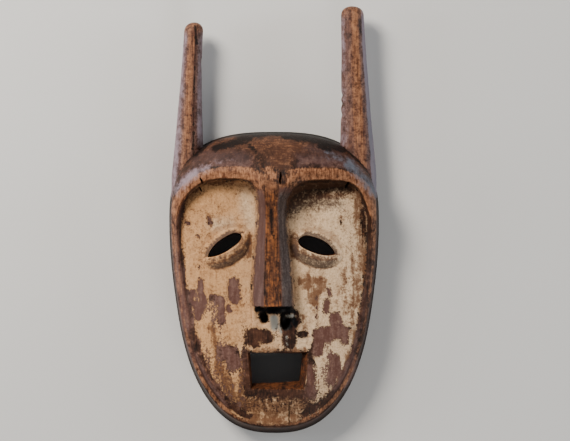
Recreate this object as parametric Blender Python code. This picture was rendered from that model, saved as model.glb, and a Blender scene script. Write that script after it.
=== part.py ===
# Horned face mask, carved from one block of wood, lying on its back rim.
# X runs across the face, Y from the chin to the horn tips, Z out of the face. Metres.
# While the mask is shaped, Y = 0 is the widest line of the face. The whole then moves so that
# the origin is the middle of the bounding box's underside.

import math

import bmesh
import bpy
import numpy as np

# Head block, seen from the front and in depth.
HEAD_HALF_WIDTH = 0.0866
CROWN_RISE = 0.0746
JAW_DROP = 0.1742
CROWN_POWER = 2.7
JAW_POWER = 2.5
OUTLINE_LEAN = 0.003
CHEEK_TAPER = 0.03
CHEEK_TAPER_DROP = 0.080
BROW_DEPTH = 0.0620
CHEEK_DEPTH = 0.0465
CHIN_DEPTH = 0.0385
CROWN_ROUNDNESS = 3.0
CHEEK_ROUNDNESS = 6.0
FRONT_POWER = 2.2
WALL_FLARE = 0.0030
BROW_DEPTH_START_Y = -0.030
BROW_DEPTH_FULL_Y = 0.040
CHIN_DEPTH_DROP = 0.080
CROWN_ROUND_RISE = 0.060

# Sunken field of the face, under two brow lobes.
LOBES = {
    "left": {"x": -0.0377, "inner": 0.0290, "outer": 0.0560, "top": 0.0442, "power": 2.5},
    "right": {"x": 0.0400, "inner": 0.0345, "outer": 0.0540, "top": 0.0429, "power": 2.4},
}
LOBE_FOOT_Y = 0.0057
CREST_SHARPNESS = 14
BROW_FULL_Y = 0.030
LIP_INSET = 0.0042
BROW_BAND = 0.0082
LIP_BAND = 0.0032
BAND_DROP = 0.0034
LIP_DROP = 0.0010
STEP_RUN = 0.0020
FIELD_BROW_Z = 0.0410
FIELD_EYE_Z = 0.0385
FIELD_MOUTH_Z = 0.0425
FIELD_CHIN_Z = 0.0335
FIELD_FALL = 0.0115
FIELD_FALL_POWER = 4
FIELD_BROW_START_Y = -0.010
FIELD_BROW_FULL_Y = 0.040
FIELD_MOUTH_START_DROP = 0.030
FIELD_MOUTH_FULL_DROP = 0.100
FIELD_CHIN_DROP = 0.125
SOCKETS = {
    "left": {"x": -0.0250, "y": 0.0170, "depth": 0.0022},
    "right": {"x": 0.0230, "y": 0.0180, "depth": 0.0050},
}
SOCKET_SPREAD = 0.0190
FACE_CENTRE_X = 0.0008
FACE_CENTRE_Y = -0.0640

# Nose.
NOSE_X = -0.0016
NOSE_LEAN = 0.012
NOSE_TOP_Y = 0.0330
NOSE_TIP_Y = -0.0680
NOSE_BRIDGE_Z = 0.0578
NOSE_DIP = 0.0035
NOSE_TIP_Z = 0.0600
NOSE_STRIP = 0.0058
NOSE_STRIP_FLARE = 0.0018
NOSE_BEVEL = 0.0064
NOSE_BEVEL_DROP = 0.0068
NOSE_BASE_TOP = 0.0134
NOSE_BASE_TIP = 0.0166
NOSE_SINK = 0.5
NOSE_UNDERCUT = 0.0095
NOSTRIL_SPREAD = 0.0072
NOSTRIL_RADIUS = 0.0029
NOSTRIL_DEPTH = 0.0100
NOSTRIL_RISE = 0.4
NOSTRIL_TILT = math.radians(38)

# Eyes: a slit through a swollen lid.
EYES = {
    "left": {"x": -0.0402, "y": -0.0194, "turn": math.radians(33),
             "length": 0.0316, "height": 0.0102},
    "right": {"x": 0.0350, "y": -0.0205, "turn": math.radians(-21),
              "length": 0.0312, "height": 0.0118},
}
LID_LENGTH = 0.0410
LID_HEIGHT = 0.0275
LID_SWELL = 0.0046
LID_DROP = 0.0030

# Mouth: a square-cut hole that narrows inwards.
MOUTH_X = 0.0024
MOUTH_Y = -0.1209
MOUTH_WIDTH = 0.0415
MOUTH_HEIGHT = 0.0245
MOUTH_BEVEL_SIDE = 0.0034
MOUTH_BEVEL_TOP = 0.0015
MOUTH_BEVEL_FOOT = 0.0066
MOUTH_FRONT_WALLS = 2.0
MOUTH_BACK_WALLS = 1.5

# Hollow behind the face, and cuts that stay blind.
RIM_WIDTH = 0.0095
FACE_WALL = 0.0085
HOLLOW_FALL = 5
HOLLOW_ROUNDNESS = 0.45
CUTS = {
    "cord_slit_middle": {"x": 0.0054, "y": 0.0355, "turn": 0.0,
                         "length": 0.0102, "width": 0.0022},
    "cord_slit_left": {"x": -0.0583, "y": 0.0328, "turn": math.radians(26),
                       "length": 0.0072, "width": 0.0020},
    "cord_slit_cheek": {"x": -0.0598, "y": 0.0270, "turn": math.radians(36),
                        "length": 0.0046, "width": 0.0018},
    "cord_slit_right": {"x": 0.0598, "y": 0.0312, "turn": math.radians(-24),
                        "length": 0.0090, "width": 0.0022},
    "chin_crack": {"x": 0.0123, "y": -0.1595, "turn": 0.0,
                   "length": 0.0255, "width": 0.0010},
}
CUT_DEPTH = 0.0060
CRACK_DEPTH = 0.0035
CUT_RUN_OUT = 0.0180
CUT_OUTLINE = ((0.0, -0.5), (0.5, -0.2), (0.5, 0.2), (0.0, 0.5), (-0.5, 0.2), (-0.5, -0.2))

# Horns. Reaches are measured from the widest line of the face, and both axes stand inside its sides.
HORN_INSETS = {"left": {"root": 0.0166, "tip": 0.0213}, "right": {"root": 0.0172, "tip": 0.0226}}
HORNS = {
    "left": {"side": -1, "reach": 0.1636, "root_x": HEAD_HALF_WIDTH - HORN_INSETS["left"]["root"],
             "tip_x": HEAD_HALF_WIDTH - HORN_INSETS["left"]["tip"], "bend": 2.0,
             "root_half": 0.0162, "tip_half": 0.0080, "taper": 2.0,
             "root_depth": 0.0105, "tip_depth": 0.0080},
    "right": {"side": 1, "reach": 0.1768, "root_x": HEAD_HALF_WIDTH - HORN_INSETS["right"]["root"],
              "tip_x": HEAD_HALF_WIDTH - HORN_INSETS["right"]["tip"], "bend": 1.0,
              "root_half": 0.0167, "tip_half": 0.0095, "taper": 1.5,
              "root_depth": 0.0125, "tip_depth": 0.0088},
}
HORN_ROOT_Y = 0.0200
HORN_ROOT_Z = 0.0165
HORN_TIP_Z = 0.0200
HORN_POWER = 2.6
HORN_TIP_ROUND = 0.0085

# Fineness of the surfaces. Ring places are shares of the way from the middle outwards.
FACE_STEPS = 132
FIELD_RINGS = (0.04, 0.16, 0.29, 0.42, 0.55, 0.67, 0.78, 0.88, 0.95, 1.0)
CROWN_RINGS = (0.16, 0.34, 0.52, 0.68, 0.82, 0.93, 1.0)
NOSE_RINGS = 8
LID_SEGMENTS = 22
LID_RINGS = 12
SLIT_STEPS = 13
NOSTRIL_SIDES = 12
HOLLOW_STEPS = 72
HOLLOW_RINGS = (0.04, 0.2, 0.38, 0.55, 0.7, 0.82, 0.9, 0.95, 0.985, 1.0)
HORN_SIDES = 14
HORN_RINGS = 12
HORN_CAP = (0.4, 0.72, 0.92, 0.99)
HALVINGS = 44
ANGLE_SAMPLES = 1441
SHARP_ANGLE = math.radians(32)


def ease(value, low, high):
    """Smooth rise from 0 at low to 1 at high."""
    part = np.clip((value - low) / (high - low), 0.0, 1.0)
    return part * part * (3.0 - 2.0 * part)


def outline_ratio(x, y):
    """0 at the centre of the head block and 1 on its outline."""
    width = HEAD_HALF_WIDTH * (1.0 - CHEEK_TAPER * ease(-y, 0.0, CHEEK_TAPER_DROP))
    across = np.abs(x - OUTLINE_LEAN * -y) / width
    up = np.where(y > 0.0, y / CROWN_RISE, -y / JAW_DROP)
    power = np.where(y > 0.0, CROWN_POWER, JAW_POWER)
    return (across ** power + up ** power) ** (1.0 / power)


def block_height(x, y):
    """Front of the uncarved block: round over the crown, squarer at the cheeks and jaw."""
    depth = CHEEK_DEPTH + (BROW_DEPTH - CHEEK_DEPTH) * ease(y, BROW_DEPTH_START_Y, BROW_DEPTH_FULL_Y)
    depth = depth + (CHIN_DEPTH - CHEEK_DEPTH) * ease(-y, CHIN_DEPTH_DROP, JAW_DROP)
    roundness = CHEEK_ROUNDNESS + (CROWN_ROUNDNESS - CHEEK_ROUNDNESS) * ease(y, 0.0, CROWN_ROUND_RISE)
    ridge = 1.0 - WALL_FLARE / HEAD_HALF_WIDTH
    ratio = outline_ratio(x, y)
    front = (1.0 - np.minimum(ratio, ridge) ** FRONT_POWER) ** (1.0 / roundness)
    wall = np.clip((1.0 - ratio) / (1.0 - ridge), 0.0, 1.0)
    return depth * front * wall


def field_height(x, y):
    """The sunken face inside the lips: it falls to the edge and is hollowed beside the nose."""
    height = FIELD_EYE_Z + (FIELD_BROW_Z - FIELD_EYE_Z) * ease(y, FIELD_BROW_START_Y, FIELD_BROW_FULL_Y)
    to_mouth = ease(-y, FIELD_MOUTH_START_DROP, FIELD_MOUTH_FULL_DROP)
    height = height + (FIELD_MOUTH_Z - FIELD_EYE_Z) * to_mouth
    height = height + (FIELD_CHIN_Z - FIELD_MOUTH_Z) * ease(-y, FIELD_CHIN_DROP, JAW_DROP)
    height = height - FIELD_FALL * outline_ratio(x, y) ** FIELD_FALL_POWER
    for socket in SOCKETS.values():
        reach = ((x - socket["x"]) ** 2 + (y - socket["y"]) ** 2) / SOCKET_SPREAD ** 2
        height = height - socket["depth"] * np.exp(-reach)
    return height


def lobe_ratio(x, y):
    """Above 1 outside the two brow lobes. It limits nothing below their foot line."""
    ratio = np.full(x.shape, np.inf)
    for lobe in LOBES.values():
        inward = (x - lobe["x"]) * (-1.0 if lobe["x"] > 0.0 else 1.0)
        across = np.where(inward > 0.0, inward / lobe["inner"], -inward / lobe["outer"])
        up = np.maximum(y - LOBE_FOOT_Y, 0.0) / (lobe["top"] - LOBE_FOOT_Y)
        ratio = np.minimum(ratio, (across ** lobe["power"] + up ** lobe["power"]) ** (1.0 / lobe["power"]))
    return np.where(y > LOBE_FOOT_Y, ratio, 0.0)


def reach_along(angles, ratio):
    """Distance from the face's centre, along each angle, at which a ratio reaches 1."""
    near = np.zeros(angles.shape)
    far = np.full(angles.shape, 2.0 * (CROWN_RISE + JAW_DROP))
    for _ in range(HALVINGS):
        middle = 0.5 * (near + far)
        x = FACE_CENTRE_X + middle * np.cos(angles)
        y = FACE_CENTRE_Y + middle * np.sin(angles)
        inside = ratio(x, y) < 1.0
        near = np.where(inside, middle, near)
        far = np.where(inside, far, middle)
    return 0.5 * (near + far)


def ridge_ratio(x, y):
    """1 on the ridge where the front of the block turns into its side wall."""
    return outline_ratio(x, y) / (1.0 - WALL_FLARE / HEAD_HALF_WIDTH)


def crest_ratio(x, y):
    """The carver's line: the lips' crest round the jaw, the brow's crest over the eyes."""
    lip = outline_ratio(x, y) / (1.0 - LIP_INSET / HEAD_HALF_WIDTH)
    lobe = lobe_ratio(x, y)
    return (lip ** CREST_SHARPNESS + lobe ** CREST_SHARPNESS) ** (1.0 / CREST_SHARPNESS)


def even_angles(count, ratio):
    """Angles that space points evenly along the line where a ratio reaches 1."""
    angles = np.linspace(0.0, 2.0 * math.pi, ANGLE_SAMPLES)
    reach = reach_along(angles, ratio)
    x = reach * np.cos(angles)
    y = reach * np.sin(angles)
    length = np.concatenate(([0.0], np.cumsum(np.hypot(np.diff(x), np.diff(y)))))
    return np.interp(np.arange(count) / count * length[-1], length, angles)


def add_object(name, vertices, faces, material, collection, frame):
    """A named object from points and faces."""
    mesh = bpy.data.meshes.new(name)
    mesh.from_pydata([tuple(vertex) for vertex in vertices], [], faces)
    mesh.update()
    return place_mesh(name, mesh, material, collection, frame)


def place_mesh(name, mesh, material, collection, frame):
    """An object for a mesh, hung on the mask's empty."""
    made = bpy.data.objects.new(name, mesh)
    made.parent = frame
    collection.objects.link(made)
    if material is not None:
        mesh.materials.append(material)
    return made


def ring_faces(rings, steps):
    """Quads between closed rings of points that follow each other, the last ring outermost."""
    faces = []
    for ring in range(rings - 1):
        for step in range(steps):
            after = (step + 1) % steps
            faces.append((ring * steps + step, (ring + 1) * steps + step,
                          (ring + 1) * steps + after, ring * steps + after))
    return faces


def head_points():
    """Rings from the middle of the face, over the step, band and crest, to the back rim."""
    angles = even_angles(FACE_STEPS, crest_ratio)
    outer_angles = even_angles(FACE_STEPS, outline_ratio)
    crest = reach_along(angles, crest_ratio)
    rim = reach_along(outer_angles, outline_ratio)
    ridge = reach_along(outer_angles, ridge_ratio)
    brow = ease(FACE_CENTRE_Y + crest * np.sin(angles), 0.0, BROW_FULL_Y)
    edge = crest - LIP_BAND - (BROW_BAND - LIP_BAND) * brow
    drop = LIP_DROP + (BAND_DROP - LIP_DROP) * brow
    foot = edge - STEP_RUN

    def spot(reach, turn):
        return FACE_CENTRE_X + reach * np.cos(turn), FACE_CENTRE_Y + reach * np.sin(turn)

    rings = []
    for share in FIELD_RINGS:
        x, y = spot(foot * share, outer_angles + (angles - outer_angles) * share ** 2)
        rings.append((x, y, field_height(x, y)))
    crest_x, crest_y = spot(crest, angles)
    crest_z = block_height(crest_x, crest_y)
    edge_x, edge_y = spot(edge, angles)
    rings.append((edge_x, edge_y, crest_z - drop))
    rings.append((crest_x, crest_y, crest_z))
    for share in CROWN_RINGS:
        x, y = spot(crest + (ridge - crest) * share, angles + (outer_angles - angles) * share)
        rings.append((x, y, block_height(x, y)))
    x, y = spot(rim, outer_angles)
    rings.append((x, y, np.zeros(x.shape)))
    return np.stack([np.stack(ring, axis=1) for ring in rings])


def make_head(material, collection, frame):
    """The head block with its carved front, closed by the flat back."""
    points = head_points()
    rings, steps = points.shape[:2]
    faces = ring_faces(rings, steps)
    faces.append(tuple(range(steps)))
    faces.append(tuple(range(rings * steps - 1, (rings - 1) * steps - 1, -1)))
    return add_object("mask", points.reshape(-1, 3), faces, material, collection, frame)


def make_nose(collection, frame):
    """A ridge with bevelled sides, cut off short under its tip."""
    shares = np.linspace(0.0, 1.0, NOSE_RINGS)
    y = NOSE_TOP_Y + (NOSE_TIP_Y - NOSE_TOP_Y) * shares
    middle = NOSE_X - NOSE_LEAN * y
    ridge = NOSE_BRIDGE_Z + (NOSE_TIP_Z - NOSE_BRIDGE_Z) * shares ** 2
    ridge = ridge - NOSE_DIP * np.sin(math.pi * shares)
    base = NOSE_BASE_TOP + (NOSE_BASE_TIP - NOSE_BASE_TOP) * shares ** 2
    strip = NOSE_STRIP + NOSE_STRIP_FLARE * shares ** 2
    floor = field_height(middle, y) - NOSE_SINK * FACE_WALL
    half = [(base, floor), (strip + NOSE_BEVEL, ridge - NOSE_BEVEL_DROP), (strip, ridge)]
    rings = []
    for side, order in ((-1.0, half), (1.0, half[::-1])):
        for across, height in order:
            under = NOSE_UNDERCUT * (ridge - height) / (ridge - floor) * (shares == 1.0)
            rings.append(np.stack((middle + side * across, y - under, height), axis=1))
    points = np.stack(rings, axis=1)
    count, steps = points.shape[:2]
    faces = ring_faces(count, steps)
    faces.append(tuple(range(steps)))
    faces.append(tuple(range(count * steps - 1, (count - 1) * steps - 1, -1)))
    return add_object("nose", points.reshape(-1, 3), faces, None, collection, frame)


def make_lid(name, eye, collection, frame):
    """A flattened ball half sunk in the field."""
    shape = bmesh.new()
    bmesh.ops.create_uvsphere(shape, u_segments=LID_SEGMENTS, v_segments=LID_RINGS, radius=1.0)
    cosine = math.cos(eye["turn"])
    sine = math.sin(eye["turn"])
    middle_x = eye["x"] + LID_DROP * sine
    middle_y = eye["y"] - LID_DROP * cosine
    floor = float(field_height(np.array([middle_x]), np.array([middle_y]))[0])
    for vertex in shape.verts:
        along = vertex.co.x * 0.5 * LID_LENGTH
        across = vertex.co.y * 0.5 * LID_HEIGHT
        vertex.co = (middle_x + along * cosine - across * sine, middle_y + along * sine + across * cosine,
                     floor + vertex.co.z * LID_SWELL)
    mesh = bpy.data.meshes.new(name)
    shape.to_mesh(mesh)
    shape.free()
    return place_mesh(name, mesh, None, collection, frame)


def extrude_outline(name, outline, low, high, collection, frame):
    """A straight cutter from a closed outline that runs anticlockwise."""
    steps = len(outline)
    vertices = [(x, y, low) for x, y in outline] + [(x, y, high) for x, y in outline]
    faces = [(step, (step + 1) % steps, (step + 1) % steps + steps, step + steps) for step in range(steps)]
    faces.append(tuple(range(steps - 1, -1, -1)))
    faces.append(tuple(range(steps, 2 * steps)))
    return add_object(name, vertices, faces, None, collection, frame)


def make_slit(name, eye, collection, frame):
    """A lens: two shallow arcs that meet in points."""
    shares = np.linspace(-1.0, 1.0, SLIT_STEPS)
    lower = [(share, share * share - 1.0) for share in shares]
    upper = [(share, 1.0 - share * share) for share in shares[-2:0:-1]]
    cosine = math.cos(eye["turn"])
    sine = math.sin(eye["turn"])
    outline = []
    for along, across in lower + upper:
        along = along * 0.5 * eye["length"]
        across = across * 0.5 * eye["height"]
        outline.append((eye["x"] + along * cosine - across * sine,
                        eye["y"] + along * sine + across * cosine))
    return extrude_outline(name, outline, 0.0, BROW_DEPTH, collection, frame)


def make_mouth(collection, frame):
    """A box whose front is wider than its back, most of all at the foot."""
    front = float(field_height(np.array([MOUTH_X]), np.array([MOUTH_Y]))[0])
    shape = bmesh.new()
    bmesh.ops.create_cube(shape, size=2.0)
    for vertex in shape.verts:
        walls = MOUTH_FRONT_WALLS if vertex.co.z > 0.0 else -MOUTH_BACK_WALLS
        height = front - FACE_WALL + walls * FACE_WALL
        spread = (height - front + FACE_WALL) / FACE_WALL
        across = 0.5 * MOUTH_WIDTH + MOUTH_BEVEL_SIDE * spread
        up = 0.5 * MOUTH_HEIGHT + (MOUTH_BEVEL_TOP if vertex.co.y > 0.0 else MOUTH_BEVEL_FOOT) * spread
        vertex.co = (MOUTH_X + vertex.co.x * across, MOUTH_Y + vertex.co.y * up, height)
    mesh = bpy.data.meshes.new("mouth_hole")
    shape.to_mesh(mesh)
    shape.free()
    return place_mesh("mouth_hole", mesh, None, collection, frame)


def make_nostril(name, side, collection, frame):
    """A slanting hole up under the nose's tip."""
    shape = bmesh.new()
    bmesh.ops.create_cone(shape, cap_ends=True, segments=NOSTRIL_SIDES, radius1=NOSTRIL_RADIUS,
                          radius2=NOSTRIL_RADIUS, depth=2.0 * NOSTRIL_DEPTH)
    mesh = bpy.data.meshes.new(name)
    shape.to_mesh(mesh)
    shape.free()
    made = place_mesh(name, mesh, None, collection, frame)
    middle_y = NOSE_TIP_Y - NOSE_UNDERCUT
    floor = float(field_height(np.array([NOSE_X]), np.array([middle_y]))[0])
    middle_x = NOSE_X - NOSE_LEAN * middle_y + side * NOSTRIL_SPREAD
    made.location = (middle_x, middle_y, floor + NOSTRIL_RISE * NOSTRIL_DEPTH)
    made.rotation_euler = (NOSTRIL_TILT, 0.0, 0.0)
    return made


def make_cut(name, cut, collection, frame):
    """A blind knife cut with pointed ends. The crack in the chin is shallower."""
    depth = CRACK_DEPTH if name == "chin_crack" else CUT_DEPTH
    spot = (np.array([cut["x"]]), np.array([cut["y"]]))
    carved = crest_ratio(*spot)[0] < 1.0
    surface = float((field_height if carved else block_height)(*spot)[0])
    cosine = math.cos(cut["turn"])
    sine = math.sin(cut["turn"])
    outline = []
    for across, along in CUT_OUTLINE:
        across = across * cut["width"]
        along = along * cut["length"]
        outline.append((cut["x"] + across * cosine - along * sine,
                        cut["y"] + across * sine + along * cosine))
    return extrude_outline(name, outline, surface - depth, surface + CUT_RUN_OUT, collection, frame)


def make_hollow(collection, frame):
    """The gouged back: it follows the face at one wall's distance and rounds down to the rim."""
    angles = np.linspace(0.0, 2.0 * math.pi, HOLLOW_STEPS, endpoint=False)
    edge = reach_along(angles, outline_ratio) - RIM_WIDTH
    rings = []
    for share in HOLLOW_RINGS:
        x = FACE_CENTRE_X + edge * share * np.cos(angles)
        y = FACE_CENTRE_Y + edge * share * np.sin(angles)
        height = (field_height(x, y) - FACE_WALL) * (1.0 - share ** HOLLOW_FALL) ** HOLLOW_ROUNDNESS
        rings.append(np.stack((x, y, height), axis=1))
    below = rings[-1].copy()
    below[:, 2] = -RIM_WIDTH
    rings.append(below)
    points = np.stack(rings)
    count, steps = points.shape[:2]
    faces = ring_faces(count, steps)
    faces.append(tuple(range(steps)))
    faces.append(tuple(range(count * steps - 1, (count - 1) * steps - 1, -1)))
    return add_object("hollow", points.reshape(-1, 3), faces, None, collection, frame)


def horn_points(horn):
    """Rings of a squared-off round from the root, inside the head's side, to the worn tip."""
    turn = np.linspace(0.0, 2.0 * math.pi, HORN_SIDES, endpoint=False) + math.pi / HORN_SIDES
    round_x = np.sign(np.cos(turn)) * np.abs(np.cos(turn)) ** (2.0 / HORN_POWER)
    round_z = np.sign(np.sin(turn)) * np.abs(np.sin(turn)) ** (2.0 / HORN_POWER)
    straight = np.linspace(HORN_ROOT_Y, horn["reach"] - HORN_TIP_ROUND, HORN_RINGS)
    cap = np.array(HORN_CAP)
    y = np.concatenate((straight, horn["reach"] - HORN_TIP_ROUND * (1.0 - cap)))
    narrow = np.concatenate((np.ones(HORN_RINGS), np.sqrt(1.0 - cap ** 2)))
    share = (horn["reach"] - y) / (horn["reach"] - HORN_ROOT_Y)
    middle = horn["tip_x"] + (horn["root_x"] - horn["tip_x"]) * (1.0 - (1.0 - share) ** horn["bend"])
    half = horn["tip_half"] + (horn["root_half"] - horn["tip_half"]) * share ** horn["taper"]
    depth = horn["tip_depth"] + (horn["root_depth"] - horn["tip_depth"]) * share
    height = HORN_TIP_Z + (HORN_ROOT_Z - HORN_TIP_Z) * share
    x = horn["side"] * middle[:, None] + (half * narrow)[:, None] * round_x
    z = height[:, None] + (depth * narrow)[:, None] * round_z
    return np.stack((x, np.broadcast_to(y[:, None], x.shape), z), axis=2)


def make_horn(name, horn, collection, frame):
    """One horn, its root sunk in the head's side."""
    points = horn_points(horn)
    count, steps = points.shape[:2]
    faces = ring_faces(count, steps)
    faces.append(tuple(range(steps)))
    faces.append(tuple(range(count * steps - 1, (count - 1) * steps - 1, -1)))
    return add_object(name, points.reshape(-1, 3), faces, None, collection, frame)


def turn_out(made):
    """Point every face outwards."""
    shape = bmesh.new()
    shape.from_mesh(made.data)
    bmesh.ops.recalc_face_normals(shape, faces=shape.faces)
    shape.to_mesh(made.data)
    shape.free()


def carve(target, tool, operation):
    """Join a shape to the mask, or cut it away."""
    turn_out(tool)
    tool.hide_render = True
    tool.display_type = "WIRE"
    step = target.modifiers.new(tool.name, "BOOLEAN")
    step.operation = operation
    step.solver = "EXACT"
    step.object = tool


def wood_material():
    """Old oiled wood."""
    material = bpy.data.materials.new("carved_wood")
    material.use_nodes = True
    shader = material.node_tree.nodes["Principled BSDF"]
    shader.inputs["Base Color"].default_value = (0.42, 0.29, 0.19, 1.0)
    shader.inputs["Roughness"].default_value = 0.62
    shader.inputs["Metallic"].default_value = 0.0
    return material


def main():
    """Model the head, join nose, lids and horns to it, then cut it hollow and pierce it."""
    for old in list(bpy.data.objects):
        bpy.data.objects.remove(old, do_unlink=True)
    parts = bpy.data.collections.new("horned_mask")
    tools = bpy.data.collections.new("cutters")
    for collection in (parts, tools):
        bpy.context.scene.collection.children.link(collection)

    frame = bpy.data.objects.new("mask_frame", None)
    parts.objects.link(frame)
    solids = [head_points().reshape(-1, 3)] + [horn_points(horn).reshape(-1, 3) for horn in HORNS.values()]
    extent = np.concatenate(solids)
    middle = 0.5 * (extent.min(axis=0) + extent.max(axis=0))
    frame.location = (-middle[0], -middle[1], 0.0)

    mask = make_head(wood_material(), parts, frame)
    turn_out(mask)
    carve(mask, make_nose(tools, frame), "UNION")
    for name, eye in EYES.items():
        carve(mask, make_lid("lid_" + name, eye, tools, frame), "UNION")
    for name, horn in HORNS.items():
        carve(mask, make_horn("horn_" + name, horn, tools, frame), "UNION")
    carve(mask, make_hollow(tools, frame), "DIFFERENCE")
    for name, eye in EYES.items():
        carve(mask, make_slit("slit_" + name, eye, tools, frame), "DIFFERENCE")
    carve(mask, make_mouth(tools, frame), "DIFFERENCE")
    for name, side in (("nostril_left", -1.0), ("nostril_right", 1.0)):
        carve(mask, make_nostril(name, side, tools, frame), "DIFFERENCE")
    for name, cut in CUTS.items():
        carve(mask, make_cut(name, cut, tools, frame), "DIFFERENCE")
    mask.data.shade_smooth()
    mask.data.set_sharp_from_angle(angle=SHARP_ANGLE)


main()
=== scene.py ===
import math

import bmesh
import bpy
import numpy as np
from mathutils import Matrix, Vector


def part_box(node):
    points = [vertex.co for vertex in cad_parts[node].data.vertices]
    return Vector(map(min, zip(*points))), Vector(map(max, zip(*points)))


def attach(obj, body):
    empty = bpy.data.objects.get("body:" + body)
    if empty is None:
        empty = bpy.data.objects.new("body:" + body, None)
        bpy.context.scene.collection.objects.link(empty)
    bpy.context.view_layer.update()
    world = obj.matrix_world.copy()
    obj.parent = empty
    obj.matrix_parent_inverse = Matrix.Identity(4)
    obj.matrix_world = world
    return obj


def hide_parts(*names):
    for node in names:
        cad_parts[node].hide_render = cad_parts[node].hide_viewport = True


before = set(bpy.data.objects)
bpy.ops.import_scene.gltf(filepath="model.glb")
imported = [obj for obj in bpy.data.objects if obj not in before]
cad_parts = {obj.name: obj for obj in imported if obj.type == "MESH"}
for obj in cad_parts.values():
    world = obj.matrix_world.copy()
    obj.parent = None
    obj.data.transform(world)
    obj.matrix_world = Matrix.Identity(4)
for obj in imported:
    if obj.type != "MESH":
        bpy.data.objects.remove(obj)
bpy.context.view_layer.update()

# A horned face mask carved from one block of wood, lying on its back rim.
# Shapes are worked out in millimetres in the carver's frame: x across the face, y up it with 0 at
# its widest line, z out of it. The last step moves them to the frame's place, in metres.

mm = 0.001
partNames = ("head", "horn", "hollow", "mouth", "cut")
carvedWood = bpy.data.materials.new("carvedWood")

# the block and its face: heights and reaches in millimetres, spans are (from, to) for ease()
head = {
    "halfWidth": 86.58, "crownRise": 74.6, "jawDrop": 174.08, "crownPower": 2.7, "jawPower": 2.5,
    "lean": 0.003, "cheekTaper": 0.03, "taperReach": 80.0, "browDepth": 62.0, "cheekDepth": 46.5,
    "chinDepth": 38.5, "browSpan": (-30.0, 40.0), "chinStart": 80.0, "crownRound": 3.0,
    "cheekRound": 6.0, "roundReach": 60.0, "domePower": 2.2, "domeLimit": 0.9995, "wallFlare": 3.0,
    "edgeSoftness": 0.9, "middle": (0.8, -68.0), "innerShare": 0.62, "outerShare": 0.38,
    "squareWide": 82.0, "squareTall": 108.0, "squareShift": 1.7, "squareSpan": (0.12, 0.86),
    "wallBlend": 0.25, "wallEnd": (0.8, 1.0), "pullY": -40.0, "lowest": 0.05,
    "rings": {"face": 84, "band": 10, "crown": 16, "wall": 13},
}
field = {
    "browZ": 41.0, "eyeZ": 38.5, "mouthZ": 42.5, "chinZ": 33.5, "browSpan": (-10.0, 40.0),
    "mouthSpan": (30.0, 100.0), "chinStart": 125.0, "fall": 11.5, "fallPower": 4,
    "sockets": ((-25.0, 17.0, 2.2), (23.0, 18.0, 5.0)), "socketSpread": 19.0,
    "lipInset": 4.2, "browTop": (44.4, 43.1), "browMiddle": (-38.0, 40.0), "browBow": (3.2, 1.8),
    "browReach": 30.0, "bowLimit": 2.0, "sideBlend": 12.0, "outerCorner": (27.0, 21.0),
    "innerCorner": (20.0, 27.0), "bandSpan": (0.0, 30.0), "browBand": 8.6, "lipBand": 2.2,
    "browDrop": 3.6, "lipDrop": 0.7, "dropReach": 1.25, "browStep": 2.4, "lipStep": 4.6,
}
nose = {
    "x": -1.6, "lean": 0.012, "bridgeZ": 57.8, "dip": 3.5, "tipZ": 59.6, "tipY": -68.0, "topY": 33.0,
    "strip": 4.7, "stripFlare": 2.4, "flareSpan": (-10.0, 62.0), "rootFlare": 2.0,
    "rootSpan": (12.0, 34.0), "bevel": 5.8, "bevelFlare": 2.8, "bevelSpan": (-12.0, 62.0),
    "bevelDrop": 8.0, "bevelStep": 1.8, "ridgeRise": (-16.0, 6.0), "ridgeFade": (14.0, 24.0),
    "recess": 0.16, "wingShare": 0.5, "wingSpan": (11.0, 14.5), "wingReach": 11.0,
    "columnShare": 0.16, "columnWide": 3.6, "columnSpan": (4.0, 8.0), "cutOff": 1.3,
    "footSpan": (7.0, 19.0), "undercut": 3.0, "undercutRise": (0.5, 5.0), "undercutTop": 1.4,
    "undercutFade": (2.0, 9.0), "nostrils": ((-7.2, 10.2, 3.2, 4.2), (9.2, 12.2, 3.9, 5.8)),
    "nostrilDepth": 8.0,
}
eyes = (
    {"x": -40.2, "y": -19.4, "turn": 33.0, "long": 15.9, "upper": 5.8, "lower": 4.4, "blunt": 1.0,
     "crack": 6.4, "ledge": 0.62},
    {"x": 34.8, "y": -20.4, "turn": -21.0, "long": 15.7, "upper": 7.0, "lower": 4.8, "blunt": -1.0,
     "crack": 4.2, "ledge": 0.80},
)
lids = {
    "long": 22.5, "over": 14.5, "under": 16.0, "swell": 5.4, "moundPower": 2.2, "overRound": 1.7,
    "underRound": 0.72, "groove": 0.9, "grooveWide": 1.9, "endFall": 3.0, "endReach": 6.0,
    "slitPower": 1.9, "bluntPower": 2.8, "bluntSpan": (-0.2, 0.9), "slitRound": 0.8, "rise": 4.0,
}
relief = {
    "slowSize": 26.0, "slowDepth": 0.28, "flatSize": 7.5, "flatStretch": 0.6, "flatDepth": 0.22,
    "fineSize": 2.6, "fineDepth": 0.07, "wallSize": 16.0, "wallDepth": 0.35,
}
search = {"farthest": 500.0, "halvings": 44, "angles": 1441}
hashing = {
    "shift": 1000.0, "seedStep": 7919, "cellSteps": (374761393, 668265263, 951274213),
    "scramble": 1274126177, "wordMask": 0xffffffff, "valueMask": 0xffff, "halfRange": 32767.5,
}


def ease(value, low, high):
    # smooth rise from 0 at low to 1 at high
    part = np.clip((value - low) / (high - low), 0.0, 1.0)
    return part * part * (3.0 - 2.0 * part)


def mix(first, second, share):
    # the first value plus a share of the way to the second
    return first + (second - first) * share


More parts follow.
